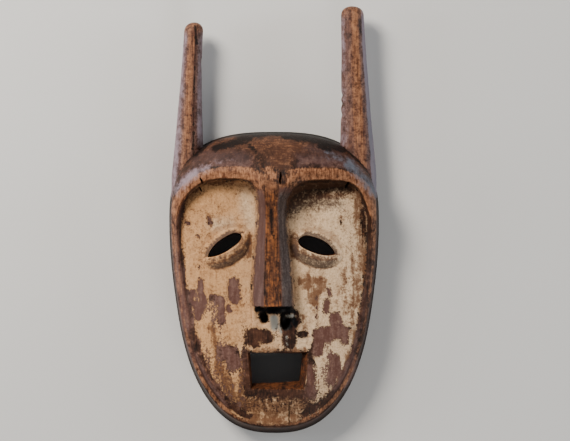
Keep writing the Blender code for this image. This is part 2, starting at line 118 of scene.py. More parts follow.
def latticeNoise(x, y, z, size, seed):
    # smoothly blended values, -1 to 1, hashed from the corners of cubes of one size
    spots = [np.asarray(axis, float) / size + hashing["shift"] for axis in (x, y, z)]
    cells = [np.floor(spot).astype(np.int64) for spot in spots]
    parts = [spot - cell for spot, cell in zip(spots, cells)]
    parts = [part * part * (3.0 - 2.0 * part) for part in parts]
    total = 0.0
    for corner in range(8):
        steps = (corner & 1, corner >> 1 & 1, corner >> 2)
        code = seed * hashing["seedStep"]
        weight = 1.0
        for cell, part, step, cellStep in zip(cells, parts, steps, hashing["cellSteps"]):
            code = code + (cell + step) * cellStep
            weight = weight * (part if step else 1.0 - part)
        code = (code ^ (code >> 13)) & hashing["wordMask"]
        code = (code * hashing["scramble"]) & hashing["wordMask"]
        value = (code ^ (code >> 16)) & hashing["valueMask"]
        total = total + weight * (value / hashing["halfRange"] - 1.0)
    return total


def layeredNoise(x, y, z, size, seed, layers=3):
    # the same noise added at half the size and half the strength, layer by layer
    total = 0.0
    fullRange = 1.6
    for layer in range(layers):
        total = total + latticeNoise(x, y, z, size / 2 ** layer, seed + layer) / 2 ** layer
    return total / fullRange


def outlineRatio(x, y):
    # superellipse: 0 at the centre of the block, 1 on its outline; the power differs above and below
    taper = 1.0 - head["cheekTaper"] * ease(-y, 0.0, head["taperReach"])
    across = np.abs(x + head["lean"] * y) / (head["halfWidth"] * taper)
    up = np.where(y > 0.0, y / head["crownRise"], -y / head["jawDrop"])
    power = np.where(y > 0.0, head["crownPower"], head["jawPower"])
    return (across ** power + up ** power) ** (1.0 / power)


def blockHeight(x, y):
    # depth times (1 - ratio^power)^(1/roundness), cut by a steep side wall with a softened ridge
    depth = mix(head["cheekDepth"], head["browDepth"], ease(y, *head["browSpan"]))
    depth = depth + (head["chinDepth"] - head["cheekDepth"]) * ease(-y, head["chinStart"], head["jawDrop"])
    roundness = mix(head["cheekRound"], head["crownRound"], ease(y, 0.0, head["roundReach"]))
    power = head["domePower"]
    ridge = 1.0 - head["wallFlare"] / head["halfWidth"]
    ratio = np.minimum(outlineRatio(x, y), 1.0)
    front = depth * (1.0 - np.minimum(ratio, head["domeLimit"]) ** power) ** (1.0 / roundness)
    wall = depth * (1.0 - ridge ** power) ** (1.0 / roundness) * (1.0 - ratio) / (1.0 - ridge)
    soft = head["edgeSoftness"]
    lower = np.minimum(front, wall)
    gap = np.abs(front - wall)
    return np.maximum(lower - soft * np.log1p(np.exp(-gap / soft)), 0.0)


def fieldHeight(x, y):
    # sunken face: eased heights from brow to chin, less a fall to the edge and two round sockets
    height = mix(field["eyeZ"], field["browZ"], ease(y, *field["browSpan"]))
    height = height + (field["mouthZ"] - field["eyeZ"]) * ease(-y, *field["mouthSpan"])
    height = height + (field["chinZ"] - field["mouthZ"]) * ease(-y, field["chinStart"], head["jawDrop"])
    height = height - field["fall"] * outlineRatio(x, y) ** field["fallPower"]
    for socketX, socketY, depth in field["sockets"]:
        reach = ((x - socketX) ** 2 + (y - socketY) ** 2) / field["socketSpread"] ** 2
        height = height - depth * np.exp(-reach)
    return height


def roundCorner(first, second, radius):
    # distance inside two edges whose corner is a circle of this radius
    near = np.minimum(first, second)
    curve = radius - np.hypot(np.maximum(radius - first, 0.0), np.maximum(radius - second, 0.0))
    return np.where(near >= radius, near, curve)


def lipDistance(x, y):
    # millimetres inside the lip's crest: (1 - ratio) over the ratio's slope
    scale = 1.0 - field["lipInset"] / head["halfWidth"]
    step = 0.05
    leastSlope = 0.004
    ratio = outlineRatio(x, y) / scale
    slopeX = (outlineRatio(x + step, y) - outlineRatio(x - step, y)) / (2.0 * step * scale)
    slopeY = (outlineRatio(x, y + step) - outlineRatio(x, y - step)) / (2.0 * step * scale)
    return (1.0 - ratio) / np.maximum(np.hypot(slopeX, slopeY), leastSlope)


def noseAcross(x, y):
    # signed distance from the nose's leaning axis
    return x - nose["x"] + nose["lean"] * y


def bySide(x, y, pair):
    # one value left of the nose, another right of it, eased between them
    return mix(pair[0], pair[1], ease(noseAcross(x, y), -field["sideBlend"], field["sideBlend"]))


def browDistance(x, y):
    # millimetres below the crest of the brow: on each side a parabola that falls from its middle
    away = (x - bySide(x, y, field["browMiddle"])) / field["browReach"]
    bow = bySide(x, y, field["browBow"]) * np.minimum(away ** 2, field["bowLimit"])
    return bySide(x, y, field["browTop"]) - bow - y


def crestDistance(x, y):
    # millimetres inside the crest of brow and lips, with their corner rounded
    return roundCorner(lipDistance(x, y), browDistance(x, y), bySide(x, y, field["outerCorner"]))


def noseRidge(y):
    # height of the nose's flat strip, dipping between bridge and tip
    share = np.clip((nose["topY"] - y) / (nose["topY"] - nose["tipY"]), 0.0, 1.0)
    rise = (nose["tipZ"] - nose["bridgeZ"]) * share ** 2
    return nose["bridgeZ"] + rise - nose["dip"] * np.sin(math.pi * share)


def stripEdge(y):
    # half the width of the nose's flat strip, flaring to the tip and to the bridge
    flare = nose["stripFlare"] * ease(-y, *nose["flareSpan"])
    return nose["strip"] + (flare + nose["rootFlare"] * ease(y, *nose["rootSpan"]))


def carvedHeight(x, y, withNose):
    # block outside the crest; inside it a band, then a step down to the field
    openness = crestDistance(x, y)
    brow = ease(y, *field["bandSpan"])
    band = mix(field["lipBand"], field["browBand"], brow)
    drop = mix(field["lipDrop"], field["browDrop"], brow)
    step = mix(field["lipStep"], field["browStep"], brow)
    top = blockHeight(x, y)
    if withNose:
        across = noseAcross(x, y)
        beside = np.abs(across) - stripEdge(y)
        bevel = nose["bevel"] + nose["bevelFlare"] * ease(-y, *nose["bevelSpan"])
        corner = bySide(x, y, field["innerCorner"])
        fromNose = np.maximum(corner - beside, 0.0) ** 2
        fromBrow = np.maximum(corner - openness, 0.0) ** 2
        share = fromNose / (fromNose + fromBrow + 1e-6)
        openness = roundCorner(openness, beside, corner)
        band = mix(band, bevel, share)
        drop = mix(drop, nose["bevelDrop"], share)
        step = mix(step, nose["bevelStep"], share)
        onRidge = 1.0 - ease(np.abs(across), *nose["ridgeFade"])
        top = top + (noseRidge(y) - top) * ease(-y, *nose["ridgeRise"]) * onRidge
    fall = ease(openness, 0.0, band * field["dropReach"])
    lowered = top - drop * fall * np.where(openness > 0.0, 1.0, 0.0)
    sunk = ease(openness, band, band + step)
    return mix(lowered, fieldHeight(x, y), sunk), openness - band - step


def eyePlace(x, y, eye):
    # along and across the slit, in its own turned frame
    turn = math.radians(eye["turn"])
    along = (x - eye["x"]) * math.cos(turn) + (y - eye["y"]) * math.sin(turn)
    across = -(x - eye["x"]) * math.sin(turn) + (y - eye["y"]) * math.cos(turn)
    return along, across


def slitEdge(along, upper, eye):
    # height of one lid's edge over the slit's chord: (1 - share^power)^round, blunt at one end
    share = np.clip(along / eye["long"], -1.0, 1.0)
    power = lids["slitPower"] + lids["bluntPower"] * ease(share * eye["blunt"], *lids["bluntSpan"])
    reach = np.where(upper, eye["upper"], -eye["lower"])
    return reach * (1.0 - np.abs(share) ** power) ** lids["slitRound"]


def lidHeight(x, y):
    # swollen lids: half an ellipsoid, longer below the slit than above, that dips to the slit's edge
    height = 0.0
    for eye in eyes:
        along, across = eyePlace(x, y, eye)
        upper = across > 0.0
        ratio = np.hypot(along / lids["long"], across / np.where(upper, lids["over"], lids["under"]))
        roundness = np.where(upper, lids["overRound"], lids["underRound"])
        mound = np.clip(1.0 - ratio ** lids["moundPower"], 0.0, 1.0) ** roundness
        pastEnd = ease(np.abs(along) - eye["long"], 0.0, lids["endReach"])
        near = np.abs(across - slitEdge(along, upper, eye)) + lids["endFall"] * pastEnd
        height = height + lids["swell"] * mound - lids["groove"] * np.exp(-(near / lids["grooveWide"]) ** 2)
    return height


def faceHeight(x, y):
    # the carved face: brow, lips and field, plus what the nose adds, held past its tip and let fall
    bare, inside = carvedHeight(x, y, False)
    heldY = np.maximum(y, nose["tipY"])
    nosed = carvedHeight(x, heldY, True)[0]
    held = carvedHeight(x, heldY, False)[0]
    past = np.maximum(nose["tipY"] - y, 0.0)
    across = noseAcross(x, y)
    wings = ease(np.abs(across), *nose["wingSpan"])
    column = np.exp(-(across / nose["columnWide"]) ** 2) * ease(past, *nose["columnSpan"])
    left = nose["recess"] + nose["wingShare"] * wings * (1.0 - ease(past, 0.0, nose["wingReach"]))
    left = left + nose["columnShare"] * column
    fall = 1.0 - (1.0 - left) * ease(past, 0.0, nose["cutOff"])
    added = (nosed - held) * fall * (1.0 - ease(past, *nose["footSpan"]))
    height = bare + added + lidHeight(x, y) * ease(inside, 0.0, lids["rise"])
    for nostrilX, nostrilPast, wide, long in nose["nostrils"]:
        ratio = ((across - nostrilX) / wide) ** 2 + ((nose["tipY"] - y - nostrilPast) / long) ** 2
        height = height - nose["nostrilDepth"] * np.exp(-ratio ** 2)
    return height, added, past


def reachAlong(angles, ratio, limit=1.0):
    # bisection: how far from the face's middle, along each angle, a ratio reaches its limit
    near = np.zeros(angles.shape)
    far = np.full(angles.shape, search["farthest"])
    for _ in range(search["halvings"]):
        middle = 0.5 * (near + far)
        x = head["middle"][0] + middle * np.cos(angles)
        y = head["middle"][1] + middle * np.sin(angles)
        inside = ratio(x, y) < limit
        near = np.where(inside, middle, near)
        far = np.where(inside, far, middle)
    return 0.5 * (near + far)


def crestLine(x, y):
    # rises through 1 where the lip and brow crest is crossed
    return 1.0 - crestDistance(x, y) / 100.0


def squareRings(rings):
    # a square grid read as rings: ring number and share of the way round it, for every point
    span = np.arange(-rings, rings + 1)
    column, row = np.meshgrid(span, span, indexing="ij")
    ring = np.maximum(np.abs(column), np.abs(row))
    size = 8.0 * np.maximum(ring, 1)
    share = np.where(column == ring, row / size, 0.0)
    share = np.where((row == ring) & (column < ring), 0.25 - column / size, share)
    share = np.where((column == -ring) & (row < ring), 0.5 - row / size, share)
    share = np.where((row == -ring) & (column > -ring) & (column < ring), 0.75 + column / size, share)
    return column, row, ring, np.mod(share, 1.0)


def evenAngles(share, ratio):
    # the angle at each share of the length of the line where a ratio is 1
    angles = np.linspace(0.0, 2.0 * math.pi, search["angles"])
    reach = reachAlong(angles, ratio)
    x, y = reach * np.cos(angles), reach * np.sin(angles)
    length = np.concatenate(([0.0], np.cumsum(np.hypot(np.diff(x), np.diff(y)))))
    return np.interp(share * length[-1], length, angles)


def evenTurns(count):
    # angles once round, without the last that repeats the first
    return np.linspace(0.0, 2.0 * math.pi, count, endpoint=False)


def solidMesh(name, points, faces, extraFaces, part):
    # points in millimetres become a mesh whose faces remember the tool that made them
    mesh = bpy.data.meshes.new(name)
    mesh.from_pydata((points.reshape(-1, 3) * mm).tolist(), [], faces.tolist() + list(extraFaces))
    for _ in partNames:
        mesh.materials.append(carvedWood)
    mesh.polygons.foreach_set("material_index", np.full(len(mesh.polygons), partNames.index(part)))
    shape = bmesh.new()
    shape.from_mesh(mesh)
    bmesh.ops.recalc_face_normals(shape, faces=shape.faces)
    shape.to_mesh(mesh)
    shape.free()
    return mesh


def gridMesh(name, x, y, height, part):
    # quads between the points of a square grid, closed by one face round its border
    size = x.shape[0]
    number = np.arange(size * size).reshape(size, size)
    corners = (number[:-1, :-1], number[1:, :-1], number[1:, 1:], number[:-1, 1:])
    faces = np.stack([corner.ravel() for corner in corners], axis=1)
    border = np.concatenate((number[:-1, 0], number[-1, :-1], number[:0:-1, -1], number[0, :0:-1]))
    return solidMesh(name, np.stack((x, y, height), axis=2), faces, [border.tolist()], part)


def tubeFaces(levels, around):
    # quads between the loops of a tube, and one face at each end
    index = np.arange(levels * around).reshape(levels, around)
    after = np.roll(index, -1, axis=1)
    corners = (index[:-1], index[1:], after[1:], after[:-1])
    faces = np.stack([corner.ravel() for corner in corners], axis=1)
    return faces, [index[0].tolist(), index[-1][::-1].tolist()]


def headPoints():
    # rings from the middle of the face out: square and leaning with the nose near the middle,
    # then along the brow and lip crest, over the crown and down the wall to the rim
    counts = head["rings"]
    faceRings, bandRings = counts["face"], counts["face"] + counts["band"]
    crownRings = bandRings + counts["crown"]
    rings = crownRings + counts["wall"]
    column, row, ring, share = squareRings(rings)
    crestAngles = evenAngles(share, crestLine)
    rimAngles = evenAngles(share, outlineRatio)
    crest = reachAlong(crestAngles, crestLine)
    ridge = reachAlong(rimAngles, outlineRatio, 1.0 - head["wallFlare"] / head["halfWidth"])
    rim = reachAlong(rimAngles, outlineRatio)
    crestY = head["middle"][1] + crest * np.sin(crestAngles)
    lipWidth = field["lipBand"] + field["lipStep"]
    browWidth = field["browBand"] + field["browStep"]
    foot = crest - lipWidth - (browWidth - lipWidth) * ease(crestY, *field["bandSpan"])
    inner = np.clip(ring / faceRings, 0.0, 1.0)
    warped = inner * head["innerShare"] + head["outerShare"] * inner ** 3
    band = np.clip((ring - faceRings) / counts["band"], 0.0, 1.0)
    crown = np.clip((ring - bandRings) / counts["crown"], 0.0, 1.0)
    wall = np.clip((ring - crownRings) / counts["wall"], 0.0, 1.0)
    angles = mix(crestAngles, rimAngles, crown)
    reach = foot * warped + (crest - foot) * band + (ridge - crest) * crown + (rim - ridge) * wall
    x = head["middle"][0] + reach * np.cos(angles)
    y = head["middle"][1] + reach * np.sin(angles)
    scale = warped / np.maximum(ring, 1)
    squareY = row * scale * head["squareTall"]
    squareX = column * scale * head["squareWide"] - nose["lean"] * squareY
    square = 1.0 - ease(inner, *head["squareSpan"])
    x = mix(x, head["middle"][0] + nose["x"] + head["squareShift"] + squareX, square)
    y = mix(y, head["middle"][1] + squareY, square)
    return x, y, ring / rings, wall


def headRelief(x, y):
    # hand carving: slow waves, knife flats and a fine roughness, all pressed in and never raised
    slow = latticeNoise(x, y, 0.0, relief["slowSize"], seed=3)
    flats = np.abs(latticeNoise(x, y * relief["flatStretch"], 0.0, relief["flatSize"], seed=11))
    fine = layeredNoise(x, y, 0.0, relief["fineSize"], seed=21)
    pressed = -relief["slowDepth"] * (1.0 + slow) - relief["flatDepth"] * flats
    return pressed - relief["fineDepth"] * (1.0 + fine)


def makeHead():
    # the face over its rings, with the nose's tip overhanging and the side wall worn inwards
    x, y, outward, wall = headPoints()
    height, added, past = faceHeight(x, y)
    onWall = ease(wall, 0.0, head["wallBlend"])
    height = height + headRelief(x, y) * (1.0 - onWall)
    overhang = nose["undercut"] * ease(added, *nose["undercutRise"]) * ease(past, 0.0, nose["undercutTop"])
    y = y + overhang * (1.0 - ease(past, *nose["undercutFade"]))
    pull = relief["wallDepth"] * (1.0 + layeredNoise(x, y, height, relief["wallSize"], seed=41))
    pull = pull * onWall * (1.0 - ease(wall, *head["wallEnd"]))
    length = np.maximum(np.hypot(x, y - head["pullY"]), 1.0)
    x = x - pull * x / length
    y = y - pull * (y - head["pullY"]) / length
    height = np.where(outward >= 1.0, 0.0, np.maximum(height, head["lowest"]))
    return gridMesh("maskCarving", x, y, height, "head")


# both horns; a dent is (y, turn in degrees, size, depth)
horns = (
    {"side": -1.0, "reach": 163.6, "rootX": 70.0, "tipX": 65.3, "bend": 2.0, "rootHalf": 16.2,
     "tipHalf": 8.0, "taper": 2.0, "rootDeep": 10.5, "tipDeep": 8.0,
     "dents": ((131.0, 0.0, 5.0, 0.5), (60.0, 20.0, 9.0, 0.5))},
    {"side": 1.0, "reach": 176.8, "rootX": 69.4, "tipX": 64.0, "bend": 1.0, "rootHalf": 16.7,
     "tipHalf": 9.5, "taper": 1.5, "rootDeep": 12.5, "tipDeep": 8.8,
     "dents": ((104.0, 180.0, 2.2, 1.1), (97.0, 180.0, 2.0, 1.0), (88.0, 175.0, 2.6, 0.9),
               (160.0, 60.0, 3.0, 0.5))},
)
hornForm = {
    "rootY": 20.0, "rootZ": 16.5, "tipZ": 20.0, "tipRound": 8.5, "along": 150, "around": 72,
    "tuck": 1.5, "tuckRise": 22.0, "facets": (90.0, 38.0, -14.0, -90.0, -166.0, 142.0),
    "hardness": 9.0, "capRows": 14, "capPower": 2.6, "capDraw": 0.97, "capEnd": 0.03,
    "broad": 0.16, "broadSize": 6.0, "broadStretch": 0.35, "fine": 0.05, "fineSize": 2.2,
    "fineStretch": 0.5, "dentTurn": 34.0, "leastHalf": 6.0,
}
hollow = {
    "rim": 9.5, "wall": 8.5, "rings": 50, "gouge": 8.5, "gougeDepth": 0.55, "spreadStart": 1.12,
    "spreadFall": 0.12, "wobble": 0.5, "wobbleSize": 14.0, "wobbleCircle": 60.0, "edgePower": 5,
    "edgeRound": 0.45, "wander": 3.0, "wanderSize": 40.0, "chopSize": 7.0, "chopStretch": 0.5,
    "gougeFade": 0.15, "below": -6.0,
}
mouth = {
    "front": ((-21.3, -106.3), (28.1, -105.3), (27.1, -140.1), (-19.4, -137.9)), "frontZ": 40.5,
    "back": ((-19.1, -106.6), (22.7, -107.1), (21.4, -131.0), (-18.1, -132.6)), "backZ": 31.0,
    "around": 120, "levels": 16, "wobble": 0.3, "wobbleSize": 9.0, "behind": 9.0, "before": 10.0,
    "behindShare": 0.6, "middle": (2.4, -120.0),
}
slit = {
    "around": 64, "levels": 7, "low": 18.0, "high": 50.0, "frontGrow": 0.10, "frontSpan": (34.0, 46.0),
    "backShrink": 0.06, "backSpan": (-34.0, -24.0),
}
cutForm = {"around": 28, "levels": 5, "waver": 0.12, "waverTurn": 0.9, "above": 8.0, "footShare": 0.45}
cuts = (
    {"x": 5.3, "y": 35.4, "long": 10.4, "wide": 2.1, "deep": 6.0, "turn": -4.0, "carved": False},
    {"x": -58.3, "y": 32.6, "long": 7.8, "wide": 2.0, "deep": 6.0, "turn": 26.0, "carved": True},
    {"x": -59.8, "y": 26.9, "long": 4.8, "wide": 1.7, "deep": 5.0, "turn": 36.0, "carved": True},
    {"x": 59.8, "y": 31.2, "long": 9.2, "wide": 2.1, "deep": 6.0, "turn": -24.0, "carved": True},
    {"x": 12.3, "y": -158.4, "long": 26.0, "wide": 0.9, "deep": 3.4, "turn": 0.6, "carved": True},
)


def hornMiddle(y, horn):
    # share from tip to root, then the axis, half width and half depth there, each an eased power
    share = np.clip((horn["reach"] - y) / (horn["reach"] - hornForm["rootY"]), 0.0, 1.0)
    middle = mix(horn["tipX"], horn["rootX"], 1.0 - (1.0 - share) ** horn["bend"])
    tucked = 1.0 - ease(y, hornForm["rootY"], hornForm["rootY"] + hornForm["tuckRise"])
    half = mix(horn["tipHalf"], horn["rootHalf"], share ** horn["taper"])
    deep = mix(horn["tipDeep"], horn["rootDeep"], share)
    height = mix(hornForm["tipZ"], hornForm["rootZ"], share)
    return horn["side"] * (middle - hornForm["tuck"] * tucked), half, deep, height


def softPolygon(turn):
    # radius of a many-sided round with softened corners: a high-power mean of its facets' pulls
    pull = 0.0
    for facet in hornForm["facets"]:
        pull = pull + np.maximum(np.cos(turn - math.radians(facet)), 0.0) ** hornForm["hardness"]
    return pull ** (-1.0 / hornForm["hardness"])


def hornMesh(number, horn):
    # a soft polygon carried along the horn, drawn in as a quarter ellipse at the worn tip
    around, along, capRows = hornForm["around"], hornForm["along"], hornForm["capRows"]
    turn = evenTurns(around)
    radius = softPolygon(turn)
    acrossX, acrossZ = radius * np.cos(turn), radius * np.sin(turn)
    acrossX = acrossX / np.abs(acrossX).max()
    acrossZ = acrossZ / np.abs(acrossZ).max()
    straight = np.linspace(hornForm["rootY"], horn["reach"] - hornForm["tipRound"], along - capRows)
    cap = np.sin(np.linspace(0.0, 0.5 * math.pi, capRows + 1))[1:]
    y = np.concatenate((straight, horn["reach"] - hornForm["tipRound"] * (1.0 - cap)))
    drawn = np.sqrt(np.maximum(1.0 - cap ** hornForm["capPower"], 0.0)) * hornForm["capDraw"]
    narrow = np.concatenate((np.ones(along - capRows), drawn + hornForm["capEnd"]))[:, None]
    middle, half, deep, height = [value[:, None] for value in hornMiddle(y, horn)]
    tall = np.broadcast_to(y[:, None], (along, around))
    x = middle + half * narrow * acrossX
    z = height + deep * narrow * acrossZ
    broad = latticeNoise(x, tall * hornForm["broadStretch"], z, hornForm["broadSize"], seed=51 + number)
    fine = layeredNoise(x, tall * hornForm["fineStretch"], z, hornForm["fineSize"], seed=61)
    press = hornForm["broad"] * (1.0 + broad) + hornForm["fine"] * (1.0 + fine)
    for dentY, dentTurn, size, depth in horn["dents"]:
        apart = np.abs(np.mod(np.degrees(turn) - dentTurn + 180.0, 360.0) - 180.0) / hornForm["dentTurn"]
        press = press + depth * np.exp(-((tall - dentY) / size) ** 2 - apart ** 2)
    shrink = 1.0 - press / np.maximum(half, hornForm["leastHalf"])
    x = middle + (x - middle) * shrink
    z = height + (z - height) * shrink
    faces, ends = tubeFaces(along, around)
    return solidMesh("hornTool", np.stack((x, tall, z), axis=2), faces, ends, "horn")


def hollowMesh():
    # the gouged back: one wall behind the field, rounding down to the rim, with rows of gouge cuts
    rings = hollow["rings"]
    ring, share = squareRings(rings)[2:]
    angles = evenAngles(share, outlineRatio)
    out = np.minimum(ring / (rings - 1.0), 1.0)
    spread = np.where(out < 1.0, out * (hollow["spreadStart"] - hollow["spreadFall"] * out ** 3), 1.0)
    circleX, circleY = hollow["wobbleCircle"] * np.cos(angles), hollow["wobbleCircle"] * np.sin(angles)
    rim = reachAlong(angles, outlineRatio) - hollow["rim"]
    rim = rim + hollow["wobble"] * latticeNoise(circleX, circleY, 0.0, hollow["wobbleSize"], seed=71)
    x = head["middle"][0] + rim * spread * np.cos(angles)
    y = head["middle"][1] + rim * spread * np.sin(angles)
    rounding = np.maximum(1.0 - spread ** hollow["edgePower"], 0.0) ** hollow["edgeRound"]
    height = (fieldHeight(x, y) - hollow["wall"]) * rounding
    wander = hollow["wander"] * latticeNoise(x, y, 0.0, hollow["wanderSize"], seed=72)
    track = np.abs(np.sin(math.pi * (x + wander) / hollow["gouge"]))
    chop = 0.5 + 0.5 * latticeNoise(x, y * hollow["chopStretch"], 0.0, hollow["chopSize"], seed=73)
    cutShare = ease(1.0 - spread, 0.0, hollow["gougeFade"])
    height = height + hollow["gougeDepth"] * track * (0.5 + chop) * cutShare
    height = np.where(ring == rings, hollow["below"], height)
    return gridMesh("hollowTool", x, y, height, "hollow")


def mouthMesh():
    # the four corners move in a straight line from the front opening to the back one
    around, levels = mouth["around"], mouth["levels"]
    part = np.arange(around) / around * 4.0
    side = np.floor(part).astype(int)
    along = part - side
    front, back = np.array(mouth["front"]), np.array(mouth["back"])
    frontLoop = front[side] + (front[(side + 1) % 4] - front[side]) * along[:, None]
    backLoop = back[side] + (back[(side + 1) % 4] - back[side]) * along[:, None]
    z = np.linspace(mouth["backZ"] - mouth["behind"], mouth["frontZ"] + mouth["before"], levels)
    share = (z - mouth["backZ"]) / (mouth["frontZ"] - mouth["backZ"])
    share = np.where(share > 0.0, share, share * mouth["behindShare"])[:, None, None]
    loops = mix(backLoop, frontLoop, share)
    x, y = loops[:, :, 0], loops[:, :, 1]
    tall = np.broadcast_to(z[:, None], x.shape)
    wobble = mouth["wobble"] * layeredNoise(x, y, tall, mouth["wobbleSize"], seed=81)
    middleX, middleY = mouth["middle"]
    length = np.maximum(np.hypot(x - middleX, y - middleY), 1.0)
    x = x + wobble * (x - middleX) / length
    y = y + wobble * (y - middleY) / length
    faces, ends = tubeFaces(levels, around)
    return solidMesh("mouthTool", np.stack((x, y, tall), axis=2), faces, ends, "mouth")


def turnedLoops(tool, along, across, z):
    # loops turned by the tool's angle about its place, one at each height
    angle = math.radians(tool["turn"])
    x = tool["x"] + along * math.cos(angle) - across * math.sin(angle)
    y = tool["y"] + along * math.sin(angle) + across * math.cos(angle)
    return np.stack((x, y, np.broadcast_to(z[:, None], x.shape)), axis=2)


def slitLoops(eye):
    # the slit's outline carried through the wall, a little wider towards the front
    turn = evenTurns(slit["around"])
    along = eye["long"] * np.cos(turn)
    across = slitEdge(along, np.sin(turn) > 0.0, eye)
    z = np.linspace(slit["low"], slit["high"], slit["levels"])
    grow = 1.0 + slit["frontGrow"] * ease(z, *slit["frontSpan"])
    grow = (grow - slit["backShrink"] * ease(-z, *slit["backSpan"]))[:, None]
    return turnedLoops(eye, along * grow, across * grow, z)


def cutLoops(cut):
    # a pointed knife cut: a wavering ellipse that narrows with depth
    turn = evenTurns(cutForm["around"])
    long = 0.5 * cut["long"] * np.cos(turn)
    wide = 0.5 * cut["wide"] * np.sin(turn)
    wide = wide + cutForm["waver"] * cut["wide"] * np.sin(long * cutForm["waverTurn"])
    spot = (np.array([cut["x"]]), np.array([cut["y"]]))
    surface = float(faceHeight(*spot)[0][0]) if cut["carved"] else float(blockHeight(*spot)[0])
    z = np.linspace(surface - cut["deep"], surface + cutForm["above"], cutForm["levels"])
    foot = cutForm["footShare"]
    grow = foot + (1.0 - foot) * ease(z, surface - cut["deep"], surface)
    return turnedLoops(cut, wide * grow[:, None], long[None, :], z)


def smallCutsMesh():
    # eye slits, cord slits and the chin's crack, all in one tool because they stay apart
    points, faces, ends, count = [], [], [], 0
    for loops in [slitLoops(eye) for eye in eyes] + [cutLoops(cut) for cut in cuts]:
        tube, caps = tubeFaces(*loops.shape[:2])
        points.append(loops.reshape(-1, 3))
        faces.append(tube + count)
        ends += [[corner + count for corner in cap] for cap in caps]
        count += len(points[-1])
    return solidMesh("cutTool", np.concatenate(points), np.concatenate(faces), ends, "cut")


def addObject(name, mesh):
    # a new object in the scene, round a mesh, a lamp or a camera
    made = bpy.data.objects.new(name, mesh)
    bpy.context.scene.collection.objects.link(made)
    return made


def applyTools(target, tools):
    # every join and cut is worked out in turn, and the result replaces the target's mesh
    helpers = []
    for mesh, operation in tools:
        helper = addObject(mesh.name, mesh)
        step = target.modifiers.new(mesh.name, "BOOLEAN")
        step.operation = operation
        step.solver = "EXACT"
        step.object = helper
        helpers.append(helper)
    bpy.context.view_layer.update()
    graph = bpy.context.evaluated_depsgraph_get()
    result = bpy.data.meshes.new_from_object(target.evaluated_get(graph), depsgraph=graph)
    target.modifiers.clear()
    target.data = result
    for helper in helpers:
        bpy.data.objects.remove(helper, do_unlink=True)


maskPiece = addObject("maskCarving", makeHead())
print("face surface done")
tools = [(hornMesh(number, horn), "UNION") for number, horn in enumerate(horns)]
tools += [(hollowMesh(), "DIFFERENCE"), (mouthMesh(), "DIFFERENCE"), (smallCutsMesh(), "DIFFERENCE")]
applyTools(maskPiece, tools)
print("carving done")


